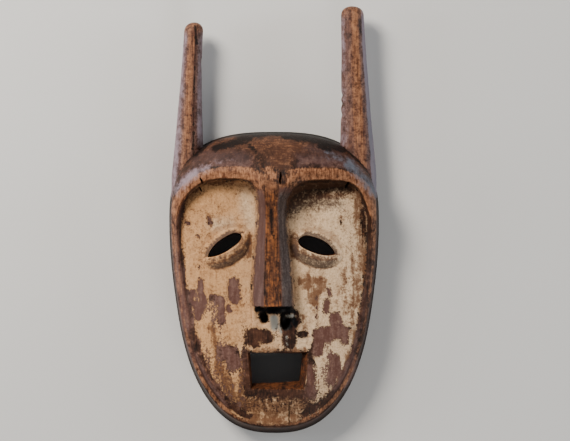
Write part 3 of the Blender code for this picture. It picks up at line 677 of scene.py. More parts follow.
# Wear and paint, as values kept on the carving's points.
# Each mark is a thick line: (x, y) of both ends and a radius, all in millimetres.
marks = {
    "flakes": (
        (-59.6, -47.5, -57.6, -64, 2.3), (-57.6, -64, -61.5, -78, 2.2), (-66.4, -57, -68, -66.5, 1.6),
        (-64.6, -66, -62, -74, 1.6), (-33, -50, -31.6, -62, 4.9), (-37, -68, -36, -72, 1.6),
        (-50, -60.5, -43, -63, 2), (-41.5, -64, -42.6, -80, 1.8), (-35.3, -106, -32.8, -114, 4.8),
        (-41, -105, -40, -109, 2.8), (-15.6, -91.5, -6.6, -93.5, 5.8), (-19, -97, -14, -99, 3.2),
        (15.2, -80, 13.1, -97, 5.2), (21.3, -91.5, 25.4, -90.6, 2.6), (18, -75, 19, -80, 3),
        (38, -92, 54, -88.6, 6.4), (50, -78, 51, -84, 5), (36, -99, 34, -105, 4.6), (59, -88, 57, -97, 3.4),
        (43.5, -65, 42.6, -72, 2.6), (44.6, -55, 45.2, -59, 1.9), (49.2, -111, 49.4, -123, 3.7),
        (48, -123, 47.4, -129, 2.4), (30, -121, 31, -139, 1.8), (-73, -58, -69, -84, 3.2),
        (-69, -84, -64.6, -107, 4.6), (-64.6, -107, -58.3, -122, 4.8), (-58.3, -122, -48, -136, 3.6),
        (-48, -136, -37, -149, 2.6), (-37, -149, -22, -159, 2), (62, -118, 46, -144, 2),
        (46, -144, 26, -155, 1.8), (-78, 20, -77.6, -50, 1), (-52.8, 4.2, -51.6, -1, 1.3),
        (-22.4, -107, -20.6, -139, 2.4), (29.4, -106, 28.4, -141, 2.4), (-19.4, -137.4, 27.4, -139.6, 3),
        (-20, -106.8, 26.6, -106, 0.9), (-76.4, -0.6, -77, -1.4, 0.7), (-70.4, -0.4, -69.8, -1.2, 1),
        (-62, -11.4, -61.2, -12.4, 0.8), (72.4, 10, 73, -10, 0.1), (54.8, 4, 54.4, -2, 0.9),
        (-55, -21.2, -54.6, -21.8, 0.8), (-60.4, -36.4, -60, -37, 0.9), (34.6, -58, 35, -84, 0.5),
    ),
    "mottled": (
        (-49, -70, -44, -98, 8), (-66, -58, -64, -74, 4), (-44, -112, -32, -138, 11),
        (-20, -146, 24, -150, 12), (-56, -100, -48, -120, 6), (40, -100, 46, -106, 5),
        (-27, -104, -28, -126, 6), (40, -122, 34, -142, 8), (4, -86, 8, -100, 5), (-76, 16, -77, -4, 2),
        (-76, -20, -74, -50, 3), (-27, -74, -25, -90, 4), (72, 16, 73, -16, 2.4), (52, -116, 44, -140, 4),
        (-25, -108, -24, -138, 3), (-14, -146, 26, -147, 5),
    ),
    "freckled": (
        (-72, 18, -64, -6, 6), (-56, 29, -30, 29, 3.5), (-62, -14, -60, -34, 5), (30, 16, 52, 17, 7),
        (60, 20, 62, -80, 5), (-50, 8, -54, -10, 6), (-72, 24, -54, 29, 4), (-74, 8, -74, -30, 3),
        (-22, -60, -26, -110, 5), (-44, -100, -36, -140, 8), (-10, -146, 34, -146, 9),
    ),
    "stains": (
        (26, -48.5, 37, -51, 7.2), (34, -56, 30.5, -64, 5.6), (14.5, -12, 16.5, -27, 4),
        (70, 25, 72, -16, 6.4), (74, -14, 74, -62, 3.6), (-20.5, -12, -20, -27, 3.6),
        (-76, 20, -66, 30, 3.5), (-54, 32, -34, 33, 2.5), (29, -112, 30, -136, 3.4),
        (-44, -116, -34, -142, 6), (-26, -146, 24, -150, 11), (-20, -104.6, 26, -104, 2.6),
        (8, -4, 10, -60, 1), (-60, -112, -40, -140, 1.5), (28, 21, 54, 22, 3), (64, -30, 64.5, -94, 2),
        (57, -40, 58, -74, 1.8), (70, -14, 70, -84, 3.4), (68, 22, 70, -14, 3.2), (50, -50, 51, -70, 1.2),
        (-46, -30, -30, -36, 1), (35.5, -58, 35.6, -86, 0.9), (66, -90, 58, -120, 2.6),
        (24, -76, 27, -98, 1.4), (-50, -86, -46, -108, 3.4), (54.6, 4, 54.8, -2.5, 0.8),
        (-26, -112, -25, -136, 4), (-16, -160, 22, -161, 6), (-75.6, 18, -77, 0, 2.4),
        (-76, -0.6, -77, -1.4, 1.6), (-70.4, -0.4, -69.8, -1.2, 1.3), (-64.4, -8.6, -64.2, -9.6, 1),
        (-62, -11.4, -61.2, -12.4, 1.3), (-72, 22, -70, 20, 1.4), (72, 16, 73, -20, 4.6),
        (-53.2, 6, -51.6, -2, 2.4),
    ),
    # soot, with a painted shadow under the right brow beside the nose
    "sootAndShadow": (
        (8.6, 4, 11, 10, 3.4), (11, 10, 16.5, 21, 6.4), (16.5, 21, 26, 28, 8.8), (26, 28, 40, 30, 8.6),
        (40, 30, 60, 29, 6.4),
    ),
    # grime with painted shade, under the brows and in corners of the face
    "grimeAndShade": (
        (18, 11, 30, 15, 4), (30, 15, 52, 15, 6), (-74, 20, -62, 27, 3), (-77, 16, -76, -2, 3.6),
        (-34, -60, -46, -62, 2),
    ),
    # painted shadow with soot under the nose tip, and painted shade in the nostrils
    "noseSootAndShadow": (
        (-14, -70.6, -4, -71.4, 2), (-4, -71.4, 13.6, -71, 2.8), (-9.4, -74.6, -7.6, -78.6, 3),
        (9.6, -76, 10.6, -84, 4.2), (14, -71.4, 16.4, -72.6, 1.6), (14, -78, 17, -82, 2.6),
    ),
    "pale": (
        (14, 0, 36, 4, 8), (-48, -2, -36, -1, 4.5), (54, -10, 56, -34, 4), (46, -44, 52, -66, 5),
        (40, -112, 44, -140, 6), (24, -70, 30, -84, 3), (-24, 22, -20, 0, 4),
    ),
    "greyWhite": (
        (0, -78.4, 0.8, -85, 3), (5.6, -84, 6.4, -89, 1.4), (10.6, -76.6, 15, -76, 1.8),
        (9.8, -93, 10.4, -100, 1.4),
    ),
    "plum": (
        (-76, -40, -72, -84, 5), (-72, -100, -40, -150, 2), (-60, -50, -60, -76, 9),
        (-36, -52, -38, -72, 12), (40, -60, 52, -120, 16), (70, -60, 60, -130, 2),
        (-52.8, 4.2, -51.6, -1, 3), (-74, 15, -75.6, 6, 5), (-70.4, -0.4, -61, -12.4, 3),
        (-80, 10, -79, -40, 2.5), (-50, 48, -20, 46, 2), (22, 50, 56, 48, 2), (-42, -100, -30, -116, 5),
        (30, -120, 31, -140, 4),
    ),
    "ember": (
        (-4, 34, -2, 24, 4.6), (-2, 24, -1.6, 0, 4.6), (-1.6, 0, -0.8, -66, 5.6), (-12, 30, -6, 34, 3),
        (8, 28, 14, 34, 2.6),
    ),
    "emberThin": (
        (-81.4, 20, -80.8, -22, 0.9), (-77.6, -36, -75.6, -72, 0.5), (82, 18, 81.6, -20, 0.9),
        (-73, -84, -69, -100, 0.5), (78.6, -50, 75, -80, 0.5), (72, 16, 73.4, -18, 1.2),
    ),
    "scuffed": (
        (0, 66, 18, 62, 6), (4, 48, 8, 56, 8), (-56, 52, -36, 60, 4), (24, 60, -24, 61, 4),
        (66, 50, 74, 40, 2.6),
    ),
    # painted sheen: a cool reflection painted on the dome's shoulders
    "paintedSheen": (
        (-80, 26, -64, 40, 4.6), (-64, 40, -52, 45, 2.6), (-60, 46, -34, 50, 0.5), (60, 47, 82, 25, 5.4),
        (44, 57, 60, 47, 2.6),
    ),
    "haze": (
        (-62, 52, -24, 52, 9), (22, 50, 62, 48, 8), (28, 60, 52, 56, 6), (-84, 18, -84, -40, 3),
        (-82, -50, -74, -98, 5), (-74, -98, -52, -140, 5), (82, -30, 72, -98, 4), (72, -98, 50, -140, 4),
    ),
    "tipBurn": ((-64.2, 160, -63.4, 146, 1.5), (70, 164, 70.6, 154, 1.2), (59, 168, 58.6, 158, 0.3)),
    # black blotches, a darker top of the dome, and painted shade along the creases where the horns meet the
    # dome
    "dark": (
        (-20, 68, -48, 60, 3.4), (10, 71, 46, 67, 4.6), (-26, 73, 8, 74, 3.4), (-52, 66, -66, 54, 2.4),
        (-66, 54, -84, 38, 1.4), (46, 67, 60, 60, 2.4), (60, 60, 82, 36, 1.8), (-14, 57, -20, 62, 1.6),
        (36, 62, 46, 58, 1.8), (30, 68, 56, 60, 4), (-2.2, 10, -1.4, -9, 1.8), (-30, 69.6, 6, 72, 2.2),
        (0, -6, 0.4, -26, 0.8),
    ),
    "quenched": ((1, 48, 8, 40, 5), (6, 36, 7, 28, 3), (-14, 44, -8, 40, 2)),
}
# how softly each group of marks ends, in millimetres each way
markBlur = {
    "stains": 4.0, "pale": 8.0, "grimeAndShade": 8.0, "sootAndShadow": 6.5, "mottled": 8.0, "freckled": 7.0, "plum": 7.0,
    "ember": 4.0, "emberThin": 1.8, "quenched": 3.0, "paintedSheen": 7.0, "haze": 9.0, "scuffed": 6.0,
    "dark": 2.6, "tipBurn": 2.0,
}
# stains and painted shade round the eyes: strengths, distances from the slit's edge and (from, to, blur)
# spans
lidStainAndShade = {
    "endFall": 2.0, "endReach": 5.0, "endFade": (1.0, 1.5), "crack": 1.15, "crackWide": 1.7,
    "ledgeFrom": 1.4, "ledgeBlur": 1.4, "aboveGrey": 1.3, "aboveSpan": (-1.0, 2.2, 2.6),
    "ledgeGrey": 0.62, "ledgeGreyBlur": 1.0, "belowGrey": 1.2, "belowGap": 1.6, "belowReach": 10.8,
    "belowBlur": 2.8,
}
# bands along the horns, across which u goes from -1 to 1: spans, and (strength, from, to) of the painted
# sheen at each side
hornBandsAndSheen = (
    {"warm": (-0.26, 0.04, 0.34), "left": (0.86, -0.84, -0.28), "right": (0.84, 0.40, 0.70),
     "line": (0.74, 0.31, 0.17)},
    {"warm": (-0.02, 0.30, 0.38), "left": (0.66, -0.86, -0.24), "right": (1.4, 0.56, 0.84),
     "line": (0.4, 0.55, 0.09)},
)
# the horns' worn colour, and their painted sheen: stronger on the top, weaker at the tip
hornWornAndSheen = {
    "tipSpan": (14.0, 5.0), "topSpan": (0.35, 0.3), "footSpan": (46.0, 84.0), "footFade": 0.45,
    "warm": 0.90, "warmTipFade": 0.4, "warmTip": 0.46, "coolFlat": 0.55, "coolTop": 0.45,
    "coolTipFade": 0.5,
}
# the worn band of brow and lips, and how much of it is left down the jaw
bandForm = {
    "lipWide": 1.4, "chinWiden": 0.8, "chinSpan": (108.0, 132.0), "browSpan": (-6.0, 24.0),
    "inset": 0.4, "blur": 1.3, "cheekFade": 0.30, "cheekSpan": (-24.0, 0.0), "cheekEnd": (110.0, 150.0),
    "jawFade": 0.34, "jawSpan": (14.0, 50.0), "jawEnd": (100.0, 128.0), "burntFade": 0.8,
}
noseForm = {"sideSpan": (15.0, 18.0), "tipSpan": (-70.0, -68.0), "browSpan": (20.0, 32.0),
            "edge": (0.6, 0.8)}
coatForm = {"edge": 0.6, "chinReach": 6.0, "chinSpan": (142.0, 160.0), "least": -3.0, "most": 6.0,
            "noseGap": 0.4, "speckGap": 0.3, "speckMost": 3.0}


def lineDistance(x, y, lines):
    # millimetres outside the nearest of some thick lines, below zero within one
    farOff = 60.0
    nearest = np.full(x.shape, farOff)
    for startX, startY, endX, endY, radius in lines:
        runX, runY = endX - startX, endY - startY
        share = np.clip(((x - startX) * runX + (y - startY) * runY) / (runX ** 2 + runY ** 2), 0.0, 1.0)
        apart = np.hypot(x - startX - share * runX, y - startY - share * runY)
        nearest = np.minimum(nearest, apart - radius)
    return nearest


def softMark(x, y, name):
    # 1 within a group of marks, falling to 0 over twice its blur
    blur = markBlur[name]
    return 1.0 - ease(lineDistance(x, y, marks[name]), -blur, blur)


def within(value, low, high, blur):
    # 1 between two limits, easing to 0 over a blur outside each
    return ease(value, low - blur, low) * (1.0 - ease(value, high, high + blur))


def readValues(items, name, width=1, kind=np.float64):
    # one property of all vertices, edges, faces or corners, a row each where it holds several numbers
    values = np.empty(len(items) * width, dtype=kind)
    items.foreach_get(name, values)
    return values.reshape(-1, width) if width > 1 else values


def proudness(points, normals, ends, rounds):
    # how far each point stands out from its surroundings, smoothed along the mesh's edges:
    # each round keeps a share of a point and takes the rest from the mean of its neighbours
    keep = 0.4
    take = 0.6
    count = len(points)
    smooth = points.copy()
    first, second = ends[:, 0], ends[:, 1]
    links = np.maximum(np.bincount(first, minlength=count) + np.bincount(second, minlength=count), 1)
    found = []
    for turn in range(max(rounds)):
        sums = [np.bincount(first, smooth[second, axis], count)
                + np.bincount(second, smooth[first, axis], count) for axis in range(3)]
        total = np.stack(sums, axis=1)
        smooth = keep * smooth + take * total / links[:, None]
        if turn + 1 in rounds:
            found.append(((points - smooth) * normals).sum(axis=1))
    return found


def addValue(name, values, domain="POINT"):
    # keeps one number for each point or face on the carving, for the material to read
    layer = maskPiece.data.attributes.new(name, "FLOAT", domain)
    layer.data.foreach_set("value", np.ascontiguousarray(values, dtype=np.float32))


def eyeStainsAndShade(x, y):
    # below each slit a stained ledge with a brown crack under it; grey painted shade on the ledge, past the
    # crack down the lid's lower curve, and above the slit
    brown, grey = 0.0 * x, 0.0 * x
    for eye in eyes:
        along, across = eyePlace(x, y, eye)
        upper = across > 0.0
        crack, start = eye["crack"], lidStainAndShade["ledgeFrom"]
        pastEnd = ease(np.abs(along), eye["long"], eye["long"] + lidStainAndShade["endReach"])
        apart = np.abs(across - slitEdge(along, upper, eye)) + lidStainAndShade["endFall"] * pastEnd
        ends = 1.0 - ease(np.abs(along) / eye["long"], *lidStainAndShade["endFade"])
        line = lidStainAndShade["crack"] * np.exp(-((apart - crack) / lidStainAndShade["crackWide"]) ** 2)
        line = np.maximum(line, eye["ledge"] * within(apart, start, crack, lidStainAndShade["ledgeBlur"]))
        brown = np.maximum(brown, np.where(upper, 0.0, line) * ends)
        # painted shade: grey above the slit, on the ledge and on the lid's lower curve
        above = np.where(upper, lidStainAndShade["aboveGrey"], 0.0) * within(apart, *lidStainAndShade["aboveSpan"])
        ledge = np.where(upper, 0.0, lidStainAndShade["ledgeGrey"]) * within(
            apart, start, crack, lidStainAndShade["ledgeGreyBlur"])
        below = np.where(upper, 0.0, lidStainAndShade["belowGrey"]) * within(
            apart, crack + lidStainAndShade["belowGap"], lidStainAndShade["belowReach"], lidStainAndShade["belowBlur"])
        for shadeBand in (above, ledge, below):
            grey = np.maximum(grey, shadeBand * ends)
    return brown, grey


def hornWearAndSheen(x, y, z, onHorn):
    # a warm worn band along each horn, a cool painted sheen at its sides that is stronger on top, and a
    # dark line between them
    ember, paintedSheen, dark = 0.0 * x, 0.0 * x, 0.0 * x
    for horn, stain in zip(horns, hornBandsAndSheen):
        middle, half, deep, height = hornMiddle(y, horn)
        u = (x - middle) / half
        tip = ease(y, horn["reach"] - hornWornAndSheen["tipSpan"][0], horn["reach"] - hornWornAndSheen["tipSpan"][1])
        top = ease(z, height - hornWornAndSheen["topSpan"][0] * deep, height + hornWornAndSheen["topSpan"][1] * deep)
        leftCool, leftFrom, leftTo = stain["left"]
        rightCool, rightFrom, rightTo = stain["right"]
        cool = leftCool * (1.0 - ease(u, leftFrom, leftTo))
        cool = np.maximum(cool, rightCool * ease(u, rightFrom, rightTo))
        lineDark, lineAt, lineWide = stain["line"]
        line = lineDark * np.exp(-((u - lineAt) / lineWide) ** 2)
        foot = 1.0 - hornWornAndSheen["footFade"] * (1.0 - ease(y, *hornWornAndSheen["footSpan"]))
        warm = hornWornAndSheen["warm"] * foot * within(u, *stain["warm"]) * top
        warm = np.maximum(warm * (1.0 - hornWornAndSheen["warmTipFade"] * tip), hornWornAndSheen["warmTip"] * tip)
        mine = onHorn & (np.sign(x) == horn["side"])
        # the painted sheen is stronger on the horn's upper side, where the light falls
        lit = hornWornAndSheen["coolFlat"] + hornWornAndSheen["coolTop"] * top
        ember = np.where(mine, warm, ember)
        paintedSheen = np.where(mine, cool * lit * (1.0 - hornWornAndSheen["coolTipFade"] * tip), paintedSheen)
        dark = np.where(mine, line * top * (1.0 - tip), dark)
    return ember, paintedSheen, dark


def noseZone(x, y):
    # 1 on the nose, its bevels included, between its tip and the brow
    beside = 1.0 - ease(np.abs(noseAcross(x, y)), *noseForm["sideSpan"])
    return beside * ease(y, *noseForm["tipSpan"]) * (1.0 - ease(y, *noseForm["browSpan"]))


def bandZone(x, y):
    # 1 on the worn band along the crest of brow and lips, narrow at the cheeks and broad at the brow
    narrow, inset = bandForm["lipWide"], bandForm["inset"]
    width = narrow + bandForm["chinWiden"] * ease(-y, *bandForm["chinSpan"])
    width = width + (field["browBand"] - narrow) * ease(y, *bandForm["browSpan"])
    return within(crestDistance(x, y), -inset, width - inset, bandForm["blur"])


def bandStrength(x, y):
    # the band's worn colour is weaker down the cheeks and jaw, and gone where it was burnt
    cheeks = bandForm["cheekFade"] * ease(-y, *bandForm["cheekSpan"])
    cheeks = cheeks * (1.0 - ease(-y, *bandForm["cheekEnd"]))
    jaw = bandForm["jawFade"] * ease(-y, *bandForm["jawSpan"]) * (1.0 - ease(-y, *bandForm["jawEnd"]))
    return (1.0 - cheeks - jaw) * (1.0 - bandForm["burntFade"] * softMark(x, y, "quenched"))


def coatThickness(x, y, inside, bare):
    # millimetres within the clay coat's own edge: the field less its flakes and the painted shadow under
    # the nose, plus the white specks
    atChin = coatForm["chinReach"] * ease(-y, *coatForm["chinSpan"])
    coat = np.clip(inside + coatForm["edge"] + atChin, coatForm["least"], coatForm["most"])
    coat = np.minimum(coat, lineDistance(x, y, marks["flakes"]))
    coat = np.minimum(coat, lineDistance(x, y, marks["noseSootAndShadow"]) + coatForm["noseGap"])
    speck = coatForm["speckGap"] - lineDistance(x, y, marks["greyWhite"])
    coat = np.maximum(coat, np.minimum(speck, coatForm["speckMost"]))
    return np.where(bare, coatForm["least"], coat)


def paintValues():
    # every value that the wood's material reads, from the marks and from the carved shape
    mesh = maskPiece.data
    points = readValues(mesh.vertices, "co", 3) / mm
    normals = readValues(mesh.vertices, "normal", 3)
    ends = readValues(mesh.edges, "vertices", 2, np.int32)
    part = readValues(mesh.polygons, "material_index", kind=np.int32)
    corners = readValues(mesh.loops, "vertex_index", kind=np.int32)
    loopPart = np.repeat(part, readValues(mesh.polygons, "loop_total", kind=np.int32))
    x, y, z = points.T
    touches = [np.bincount(corners[loopPart == number], minlength=len(points)) > 0 for number in range(2)]
    onHorn = touches[1] & ~touches[0]
    onHead = np.where(onHorn, 0.0, 1.0)
    fine, broad = proudness(points, normals, ends, (3, 16))
    edgeShare = head["wallFlare"] / head["halfWidth"]
    onWall = ease(outlineRatio(x, y), 1.0 - edgeShare, 1.0 - 0.15 * edgeShare) * onHead
    inside = carvedHeight(x, y, False)[1]
    insideNose = carvedHeight(x, np.maximum(y, nose["tipY"]), True)[1]
    inside = np.where(nose["tipY"] - y > 0.5, inside, np.minimum(inside, insideNose))
    onNose = noseZone(x, y)
    band = bandZone(x, y) * (1.0 - onNose) * onHead
    across = noseAcross(x, y)
    bevel = ease(np.abs(across), stripEdge(y) - noseForm["edge"][0], stripEdge(y) + noseForm["edge"][1])
    whiteSpecks = lineDistance(x, y, marks["greyWhite"])
    hornEmber, hornSheen, hornDark = hornWearAndSheen(x, y, z, onHorn)
    # how much of the painted sheen takes its paler, lit tone: more on the left, less on the right
    hornSheenLit = np.where(x < 0.0, 1.0 - 0.7 * ease(x, -64.0, -56.0), 0.8 - 0.4 * ease(x, 70.0, 78.0))
    ember = np.maximum(0.9 * softMark(x, y, "ember"), band * bandStrength(x, y)) * onHead
    ember = np.maximum(ember, 0.8 * softMark(x, y, "emberThin") * onHead)
    lidBrown, lidShade = eyeStainsAndShade(x, y)
    tipBurn = softMark(x, y, "tipBurn") * (1.0 - onHead) * (z > hornForm["tipZ"])
    plum = np.maximum(softMark(x, y, "plum"), 0.8 * onNose * bevel)
    plum = np.maximum(plum, 0.5 * ease(inside, 0.0, 3.0) * (1.0 - ease(x, -30.0, -18.0)))
    values = {
        "paint": coatThickness(x, y, inside, onHorn | (onWall > 0.3)),
        "warm": np.clip(0.5 - x / 90.0, 0.0, 1.0) * (1.0 - 0.8 * softMark(x, y, "pale")),
        "stain": np.maximum(softMark(x, y, "stains"), lidBrown),
        # grey painted shade on the lids, with grime and painted shade under the brows
        "greyShadeAndGrime": np.maximum(lidShade, 1.15 * softMark(x, y, "grimeAndShade")),
        # soot and painted shadow under the right brow
        "sootAndShadow": softMark(x, y, "sootAndShadow"),
        # painted shadow with soot under the nose tip and in the nostrils
        "noseSootAndShadow": np.clip(np.minimum(-lineDistance(x, y, marks["noseSootAndShadow"]), whiteSpecks), -4.0, 4.0),
        "mottle": softMark(x, y, "mottled"),
        "residue": ease(inside, -1.0, 3.0) * (1.0 - onNose) * onHead,
        "freckle": softMark(x, y, "freckled"),
        "greyWhite": 1.0 - ease(whiteSpecks, -1.0, 1.5),
        "ember": np.maximum(ember, hornEmber),
        "paintedSheen": np.maximum(softMark(x, y, "paintedSheen") * onHead, hornSheen),
        "sheenLit": np.where(onHorn, hornSheenLit, np.clip(0.5 - x / 60.0, 0.0, 1.0)),
        "haze": softMark(x, y, "haze") * onHead * (1.0 - band),
        "scuffed": softMark(x, y, "scuffed") * onHead * (1.0 - band),
        "onNose": onNose,
        "dark": np.maximum(softMark(x, y, "dark") * onHead, np.maximum(hornDark, tipBurn)),
        "plum": np.where(onHorn, 0.6, plum),
        "noseShade": onNose * bevel * np.where(across > 0.0, 1.0, 0.45),
        "band": band,
        "proud": np.clip(fine / 0.12, -1.0, 1.0),
        "swell": np.clip(broad / 0.9, -1.0, 1.0),
        "sideWall": onWall,
    }
    for name, value in values.items():
        addValue(name, value)
    addValue("inner", np.select([part == 2, part >= 3], [1.0, 0.5], 0.0), "FACE")
    mesh.polygons.foreach_set("material_index", np.zeros(len(mesh.polygons), dtype=np.int32))
    mesh.materials.clear()
    mesh.materials.append(carvedWood)


paintValues()
print("paint values done")


class Shade:
    # one shader value; arithmetic on it adds maths nodes, and add() makes any other node
    def __init__(self, tree, source):
        self.tree = tree
        self.source = source

    def add(self, kind, settings, inputs, output=0):
        # any node: its settings first, then the values or links of its sockets
        made = self.tree.nodes.new("ShaderNode" + kind)
        for name, value in settings.items():
            setattr(made, name, value)
        for slot, value in inputs.items():
            if isinstance(value, Shade):
                self.tree.links.new(value.source, made.inputs[slot])
            else:
                made.inputs[slot].default_value = value
        return Shade(self.tree, made.outputs[output])

    def maths(self, operation, other, swapped=False):
        # one Math node, with the other operand first where swapped
        pair = (other, self) if swapped else (self, other)
        return self.add("Math", {"operation": operation}, {0: pair[0], 1: pair[1]})

    def __add__(self, other):
        return self.maths("ADD", other)

    def __sub__(self, other):
        return self.maths("SUBTRACT", other)

    def __mul__(self, other):
        return self.maths("MULTIPLY", other)

    def __radd__(self, other):
        return self.maths("ADD", other, True)

    def __rsub__(self, other):
        return self.maths("SUBTRACT", other, True)

    def __rmul__(self, other):
        return self.maths("MULTIPLY", other, True)

    def smooth(self, low, high, start=0.0, stop=1.0):
        # smooth step from start to stop while the value goes from low to high
        return self.add("MapRange", {"interpolation_type": "SMOOTHSTEP"},
                        {0: self, 1: low, 2: high, 3: start, 4: stop})

    def blend(self, first, second, way="MIX"):
        # this value mixes two colours
        return self.add("Mix", {"data_type": "RGBA", "blend_type": way}, {0: self, 6: first, 7: second}, 2)

    def cover(self, under, over, low, high, strength, way="MIX"):
        # where this value rises from low to high, one colour covers another, at most by the strength
        return (self.smooth(low, high) * strength).blend(under, over, way)

    def read(self, *names):
        # values kept on the carving, by name
        found = [self.add("Attribute", {"attribute_name": name}, {}, 2) for name in names]
        return found if len(found) > 1 else found[0]

    def noise(self, size, stretch=(1.0, 1.0, 1.0), detail=3.0, rough=0.55, seed=0.0):
        # values about 0, mostly from -0.5 to 0.5, in blobs of a size in millimetres
        scaled = self.add("VectorMath", {"operation": "MULTIPLY"},
                          {0: self, 1: tuple(1.0 / (size * mm * along) for along in stretch)})
        inputs = {"Vector": scaled, "W": seed, "Scale": 1.0, "Detail": detail, "Roughness": rough}
        return (self.add("TexNoise", {"noise_dimensions": "4D"}, inputs) - 0.5) * 2.0


def tone(red, green, blue):
    # a colour as it looks on a screen, turned into light amounts
    return tuple((part / 255.0) ** 2.2 for part in (red, green, blue)) + (1.0,)


woodLook = {
    "deepBrown": tone(36, 23, 17), "brown": tone(78, 50, 37), "plumBrown": tone(90, 60, 52),
    "plumPale": tone(126, 98, 88), "emberBrown": tone(96, 58, 38), "emberPale": tone(172, 120, 86),
    "noseBrown": tone(146, 84, 40), "paintedSheen": tone(142, 125, 133), "shadedSheen": tone(90, 97, 108),
    "haze": tone(66, 52, 53), "black": tone(14, 9, 7), "bevel": tone(76, 52, 46),
    "bevelShade": tone(50, 40, 36), "bevelStreak": tone(100, 88, 82), "hollow": tone(112, 80, 56),
    "hollowDark": tone(60, 40, 29), "cutWall": tone(104, 60, 34), "specular": 0.2,
}
paintLook = {
    "warm": tone(208, 158, 110), "pale": tone(226, 194, 156), "stain": tone(102, 66, 45),
    "sootAndShadow": tone(40, 27, 20), "greyWhite": tone(146, 142, 132), "speck": tone(80, 50, 36),
    "greyShadeAndGrime": tone(76, 62, 56), "dust": tone(200, 178, 158),
}
# patterns of the wood and the coat: sizes in millimetres, stretch runs along the grain
patterns = {
    "coarse": {"size": 16.0, "detail": 4.0, "seed": 1.0},
    "middling": {"size": 5.0, "detail": 5.0, "rough": 0.62, "seed": 2.0},
    "small": {"size": 1.7, "detail": 4.0, "rough": 0.62, "seed": 3.0},
    "tiny": {"size": 0.6, "detail": 2.0, "seed": 4.0},
    "grain": {"size": 1.3, "stretch": (1.0, 16.0, 1.0), "detail": 4.0, "rough": 0.6, "seed": 5.0},
    "streak": {"size": 3.2, "stretch": (1.0, 9.0, 1.0), "detail": 5.0, "rough": 0.6, "seed": 6.0},
    "scratch": {"size": 0.8, "stretch": (16.0, 1.0, 1.0), "detail": 3.0, "rough": 0.6, "seed": 7.0},
    "chop": {"size": 1.6, "stretch": (1.0, 5.0, 1.0), "detail": 3.0, "rough": 0.6, "seed": 8.0},
}


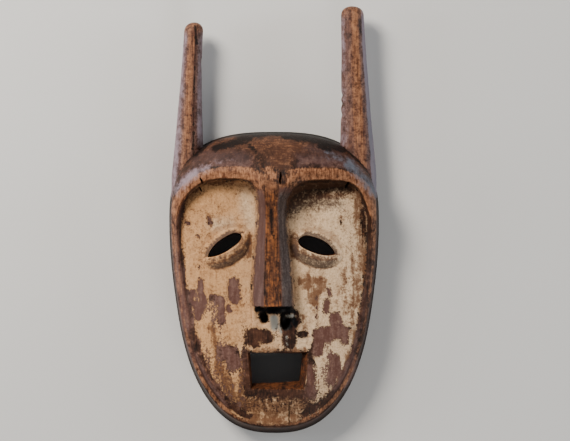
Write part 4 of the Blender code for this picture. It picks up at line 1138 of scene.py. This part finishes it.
def makeCarvedWood():
    # each sum weighs noises and kept values, smooth() gives its limits, and the result mixes colours
    carvedWood.use_nodes = True
    tree = carvedWood.node_tree
    shader = tree.nodes["Principled BSDF"]
    place = Shade(tree, tree.nodes.new("ShaderNodeTexCoord").outputs["Object"])
    coarse, middling, small, tiny = [
        place.noise(**patterns[name]) for name in ("coarse", "middling", "small", "tiny")]
    grain, streak, scratch, chop = [
        place.noise(**patterns[name]) for name in ("grain", "streak", "scratch", "chop")]
    ember, paintedSheen, haze, scuffed, sheenLit = place.read("ember", "paintedSheen", "haze", "scuffed", "sheenLit")
    dark, plum, band, onNose, noseShade = place.read("dark", "plum", "band", "onNose", "noseShade")
    proud, swell, warm, stain, greyShadeAndGrime, sootAndShadow = place.read("proud", "swell", "warm", "stain", "greyShadeAndGrime", "sootAndShadow")
    inner, sideWall, paint, mottle = place.read("inner", "sideWall", "paint", "mottle")
    # darker where the surface lies below its neighbours: painted shade, with grime, in grooves and hollows
    groove = (middling * 0.5 - proud).smooth(0.1, 0.8)

    # bare wood: brown over deep brown, then worn orange, a blue-grey painted sheen, black blotches and
    # painted shade where the horns meet the dome
    wood = (coarse + middling + grain + streak * 0.6 + 0.5).smooth(-0.1, 1.1).blend(
        woodLook["deepBrown"], woodLook["brown"])
    plumTone = (streak + small * 0.6 + middling * 0.6).smooth(-0.3, 0.8).blend(
        woodLook["plumBrown"], woodLook["plumPale"])
    wood = (plum + middling * 0.9 + small * 0.4).smooth(0.1, 0.8).blend(wood, plumTone)
    worn = (middling * 0.9 + small * 0.6 + grain * 1.1 + streak * 0.5 + 0.5).smooth(0.0, 1.1)
    emberTone = (worn * 0.9 + band * chop * 0.6 + coarse * 0.3).blend(
        woodLook["emberBrown"], woodLook["emberPale"])
    noseTone = (worn * 0.9 + streak * 0.6).smooth(0.1, 0.9).blend(
        woodLook["emberBrown"], woodLook["noseBrown"])
    emberTone = (onNose * 0.85).blend(emberTone, noseTone)
    wood = (scuffed * 0.7).blend(wood, woodLook["brown"])
    rubbed = scuffed * (scratch * 1.9 + middling * 0.3 + 0.22)
    ragged = (middling * 0.9 + small * 0.6 + grain * 0.7) * (1.0 - scuffed * 0.75)
    worn = ember + rubbed + ragged + proud * 0.3 + swell * 0.15 - 0.54
    wood = (worn.smooth(-0.4, 0.8) * (1.0 - scuffed * 0.3)).blend(wood, emberTone)
    wood = (haze + coarse * 0.8 + middling * 0.7 - 0.35).cover(wood, woodLook["haze"], 0.0, 0.9, 0.6)
    # painted sheen of cool light on the horns' sides and the dome's shoulders, paler where lit and darker
    # where shaded
    sheenTone = (sheenLit + streak * 0.5).blend(woodLook["shadedSheen"], woodLook["paintedSheen"])
    sheenAmount = paintedSheen * 1.3 + coarse * 0.8 + middling * 0.9 + streak * 0.6 + small * 0.5 - 0.46
    wood = sheenAmount.cover(wood, sheenTone, 0.0, 1.2, 0.9)
    # black blotches, with painted shade in the creases where the horns meet the dome
    wood = (dark * 1.3 + middling * 1.3 + small * 0.9 - 0.6).cover(wood, woodLook["black"], 0.0, 0.5, 0.92)
    # painted shade with grime in the grooves of the bare wood
    wood = (groove * 0.55).blend(wood, woodLook["deepBrown"])
    pits = (small * 0.8 + tiny * 0.9 + middling * 0.5).smooth(0.46, 0.70)
    wood = (pits * 0.8).blend(wood, woodLook["black"])
    bevel = (streak + small * 0.5).smooth(-0.2, 1.2).blend(woodLook["bevel"], woodLook["plumPale"])
    shaded = (streak + small).smooth(-0.4, 0.8).blend(woodLook["bevelShade"], woodLook["bevelStreak"])
    bevel = noseShade.smooth(0.5, 1.0).blend(bevel, shaded)
    wood = (noseShade + small * 0.25 + streak * 0.25).cover(wood, bevel, 0.1, 0.45, 0.88)

    # the pale clay coat
    coat = (warm + coarse * 0.4).smooth(0.0, 1.0).blend(paintLook["pale"], paintLook["warm"])
    coat = (coarse * 0.7 + middling * 0.8 + streak * 0.9 + small * 0.5 + 0.35).cover(
        coat, paintLook["stain"], 0.0, 1.3, 0.5)
    coat = (small * 0.8 + tiny + middling * 0.4 + 0.4).cover(
        coat, paintLook["dust"], 0.0, 1.0, 0.7, "MULTIPLY")
    coat = (stain * 1.4 + middling * 1.1 + streak * 1.2 + small * 0.7 - 0.42).cover(
        coat, paintLook["stain"], 0.0, 1.0, 0.88)
    # soot and painted shadow under the right brow: a brown edge, then near black
    coat = (sootAndShadow * 1.3 + middling * 1.2 + small * 1.1 - 0.1).cover(coat, paintLook["stain"], 0.0, 1.2, 0.75)
    coat = (sootAndShadow * 1.6 + middling * 1.0 + small * 0.8 - 0.6).cover(coat, paintLook["sootAndShadow"], 0.0, 1.1, 0.97)
    # grey painted shade on the lids and under the brows, with grime
    coat = (greyShadeAndGrime * 1.2 + middling * 0.8 + small * 1.3 + tiny * 0.6 - 0.25).cover(
        coat, paintLook["greyShadeAndGrime"], 0.0, 1.3, 0.86)
    specks = small * 0.9 + tiny * 0.9 + coarse * 0.4 + middling * 0.5 + place.read("freckle") * 0.26
    coat = specks.cover(coat, paintLook["speck"], 0.30, 0.72, 0.8)
    # painted shade with grime in the grooves of the coat
    coat = (groove * 0.35).blend(coat, paintLook["stain"])
    coat = place.read("greyWhite").blend(coat, paintLook["greyWhite"])

    # where the coat still holds
    crumbs = (middling * 0.9 + small * 2.7 + tiny * 1.5 + streak * 1.8 + 0.64).smooth(0.0, 1.6)
    loose = mottle * crumbs * 9.0
    hold = paint + coarse * 1.2 + middling * 4.4 + small * 4.2 + tiny * 1.8 + 0.4 - loose
    hold = hold - (small + tiny * 0.7 + middling * 0.3).smooth(0.46, 0.6) * 5.0
    bareInside = 1.0 - inner.smooth(0.1, 0.3)
    coated = hold.smooth(-0.3, 0.8) * bareInside
    # painted shadow: a thin dark line along the coat's broken edge
    coatEdgeShadow = hold.smooth(-0.8, 0.1) * (1.0 - hold.smooth(0.1, 1.0)) * bareInside
    colour = coated.blend(wood, coat)
    residue = (small + tiny * 0.9 + streak * 0.6 + middling * 0.4).smooth(0.3, 0.8) * place.read("residue")
    colour = (residue * (1.0 - coated) * 0.5).blend(colour, coat)
    colour = (coatEdgeShadow * 0.34).blend(colour, woodLook["deepBrown"])
    # painted shadow, with soot, under the nose tip and in the nostrils
    colour = (place.read("noseSootAndShadow") + middling * 3.4 + small * 2.8 + 0.2).smooth(-0.9, 0.9).blend(
        colour, woodLook["black"])

    # cut walls, the hollow and the outer side
    raw = (coarse + grain + middling + 0.5).smooth(0.0, 1.2).blend(
        woodLook["hollowDark"], woodLook["hollow"])
    cutWall = (middling + small * 0.9 + 0.4).smooth(0.0, 1.0).blend(
        woodLook["deepBrown"], woodLook["cutWall"])
    colour = inner.smooth(0.2, 0.4).blend(colour, cutWall)
    colour = inner.smooth(0.7, 0.9).blend(colour, raw)
    side = (grain + middling + 0.4).smooth(0.0, 1.0).blend(woodLook["black"], woodLook["deepBrown"])
    colour = (sideWall * (middling * 0.6 + grain * 0.4 + 0.8)).blend(colour, side)

    rough = coated * 0.28 + 0.56 + middling * 0.15 + grain * 0.08 + sideWall * 0.2
    lift = coated * 0.2 + small * 0.10 + tiny * 0.04 + grain * 0.07 * (1.0 - coated) + middling * 0.12
    lift = lift + scratch * 0.05 * (1.0 - coated) - pits * 0.08 + chop * band * 0.10
    bump = place.add("Bump", {}, {"Strength": 1.0, "Distance": mm, "Height": lift})
    for name, value in {"Base Color": colour, "Roughness": rough, "Normal": bump}.items():
        tree.links.new(value.source, shader.inputs[name])
    shader.inputs["Specular IOR Level"].default_value = woodLook["specular"]


makeCarvedWood()
print("wood material done")


def placeCarving():
    # the carver's frame moves onto the node's box, with the longer horn's tip at its far end
    low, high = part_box("mask")
    spots = readValues(maskPiece.data.vertices, "co", 3)
    spots[:, 0] += 0.5 * (low[0] + high[0])
    spots[:, 1] += high[1] - horns[1]["reach"] * mm
    maskPiece.data.vertices.foreach_set("co", spots.ravel())
    maskPiece.data.update()


sharpAngle = 42.0
placeCarving()
maskPiece.data.shade_smooth()
maskPiece.data.set_sharp_from_angle(angle=math.radians(sharpAngle))
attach(maskPiece, "root")
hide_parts("mask")
print("mask placed on its body")


studio = {
    "floorColour": (0.70, 0.69, 0.67), "floorRough": 0.85, "floorReach": 6.0,
    "worldColour": (0.80, 0.82, 0.86), "worldStrength": 0.17,
    "lens": 183.5, "sensor": 36.0, "cameraPlace": (0.009, 0.0, 2.4),
}
# name, place, aim, size, watts and colour
lights = (
    ("keyLight", (-0.74, 0.84, 0.98), (0.0, 0.0, 0.0), 0.5, 31.0, (1.0, 0.94, 0.86)),
    ("footFill", (0.5, -1.0, 0.76), (0.0, 0.0, 0.0), 0.6, 6.0, (1.0, 0.97, 0.93)),
    ("leftStrip", (-1.3, 0.1, 0.35), (0.0, 0.0, 0.03), 0.5, 8.0, (0.85, 0.92, 1.0)),
    ("rightStrip", (1.3, 0.2, 0.35), (0.0, 0.0, 0.03), 0.5, 8.0, (0.85, 0.92, 1.0)),
)


def makeFloor():
    # a wide pale floor under the mask
    floorMesh = bpy.data.meshes.new("floor")
    reach = studio["floorReach"]
    corners = [(-reach, -reach, 0.0), (reach, -reach, 0.0), (reach, reach, 0.0), (-reach, reach, 0.0)]
    floorMesh.from_pydata(corners, [], [(0, 1, 2, 3)])
    floor = addObject("floor", floorMesh)
    paleFloor = bpy.data.materials.new("paleFloor")
    paleFloor.use_nodes = True
    shader = paleFloor.node_tree.nodes["Principled BSDF"]
    shader.inputs["Base Color"].default_value = studio["floorColour"] + (1.0,)
    shader.inputs["Roughness"].default_value = studio["floorRough"]
    floorMesh.materials.append(paleFloor)


def addLight(name, place, aim, size, power, colour):
    # a square lamp that faces its aim
    lamp = bpy.data.lights.new(name, "AREA")
    lamp.size = size
    lamp.energy = power
    lamp.color = colour
    made = addObject(name, lamp)
    made.location = place
    direction = Vector(aim) - Vector(place)
    made.rotation_euler = direction.to_track_quat("-Z", "Y").to_euler()


def setWorld():
    # dim cool air light
    world = bpy.data.worlds.new("studioAir")
    world.use_nodes = True
    back = world.node_tree.nodes["Background"]
    back.inputs["Color"].default_value = studio["worldColour"] + (1.0,)
    back.inputs["Strength"].default_value = studio["worldStrength"]
    bpy.context.scene.world = world


def addCamera():
    # straight above the mask, with a long lens as in the photograph
    lens = bpy.data.cameras.new("photoCamera")
    lens.lens = studio["lens"]
    lens.sensor_width = studio["sensor"]
    made = addObject("photoCamera", lens)
    made.location = studio["cameraPlace"]
    bpy.context.scene.camera = made


makeFloor()
setWorld()
for light in lights:
    addLight(*light)
addCamera()
print("floor, lights and camera done")
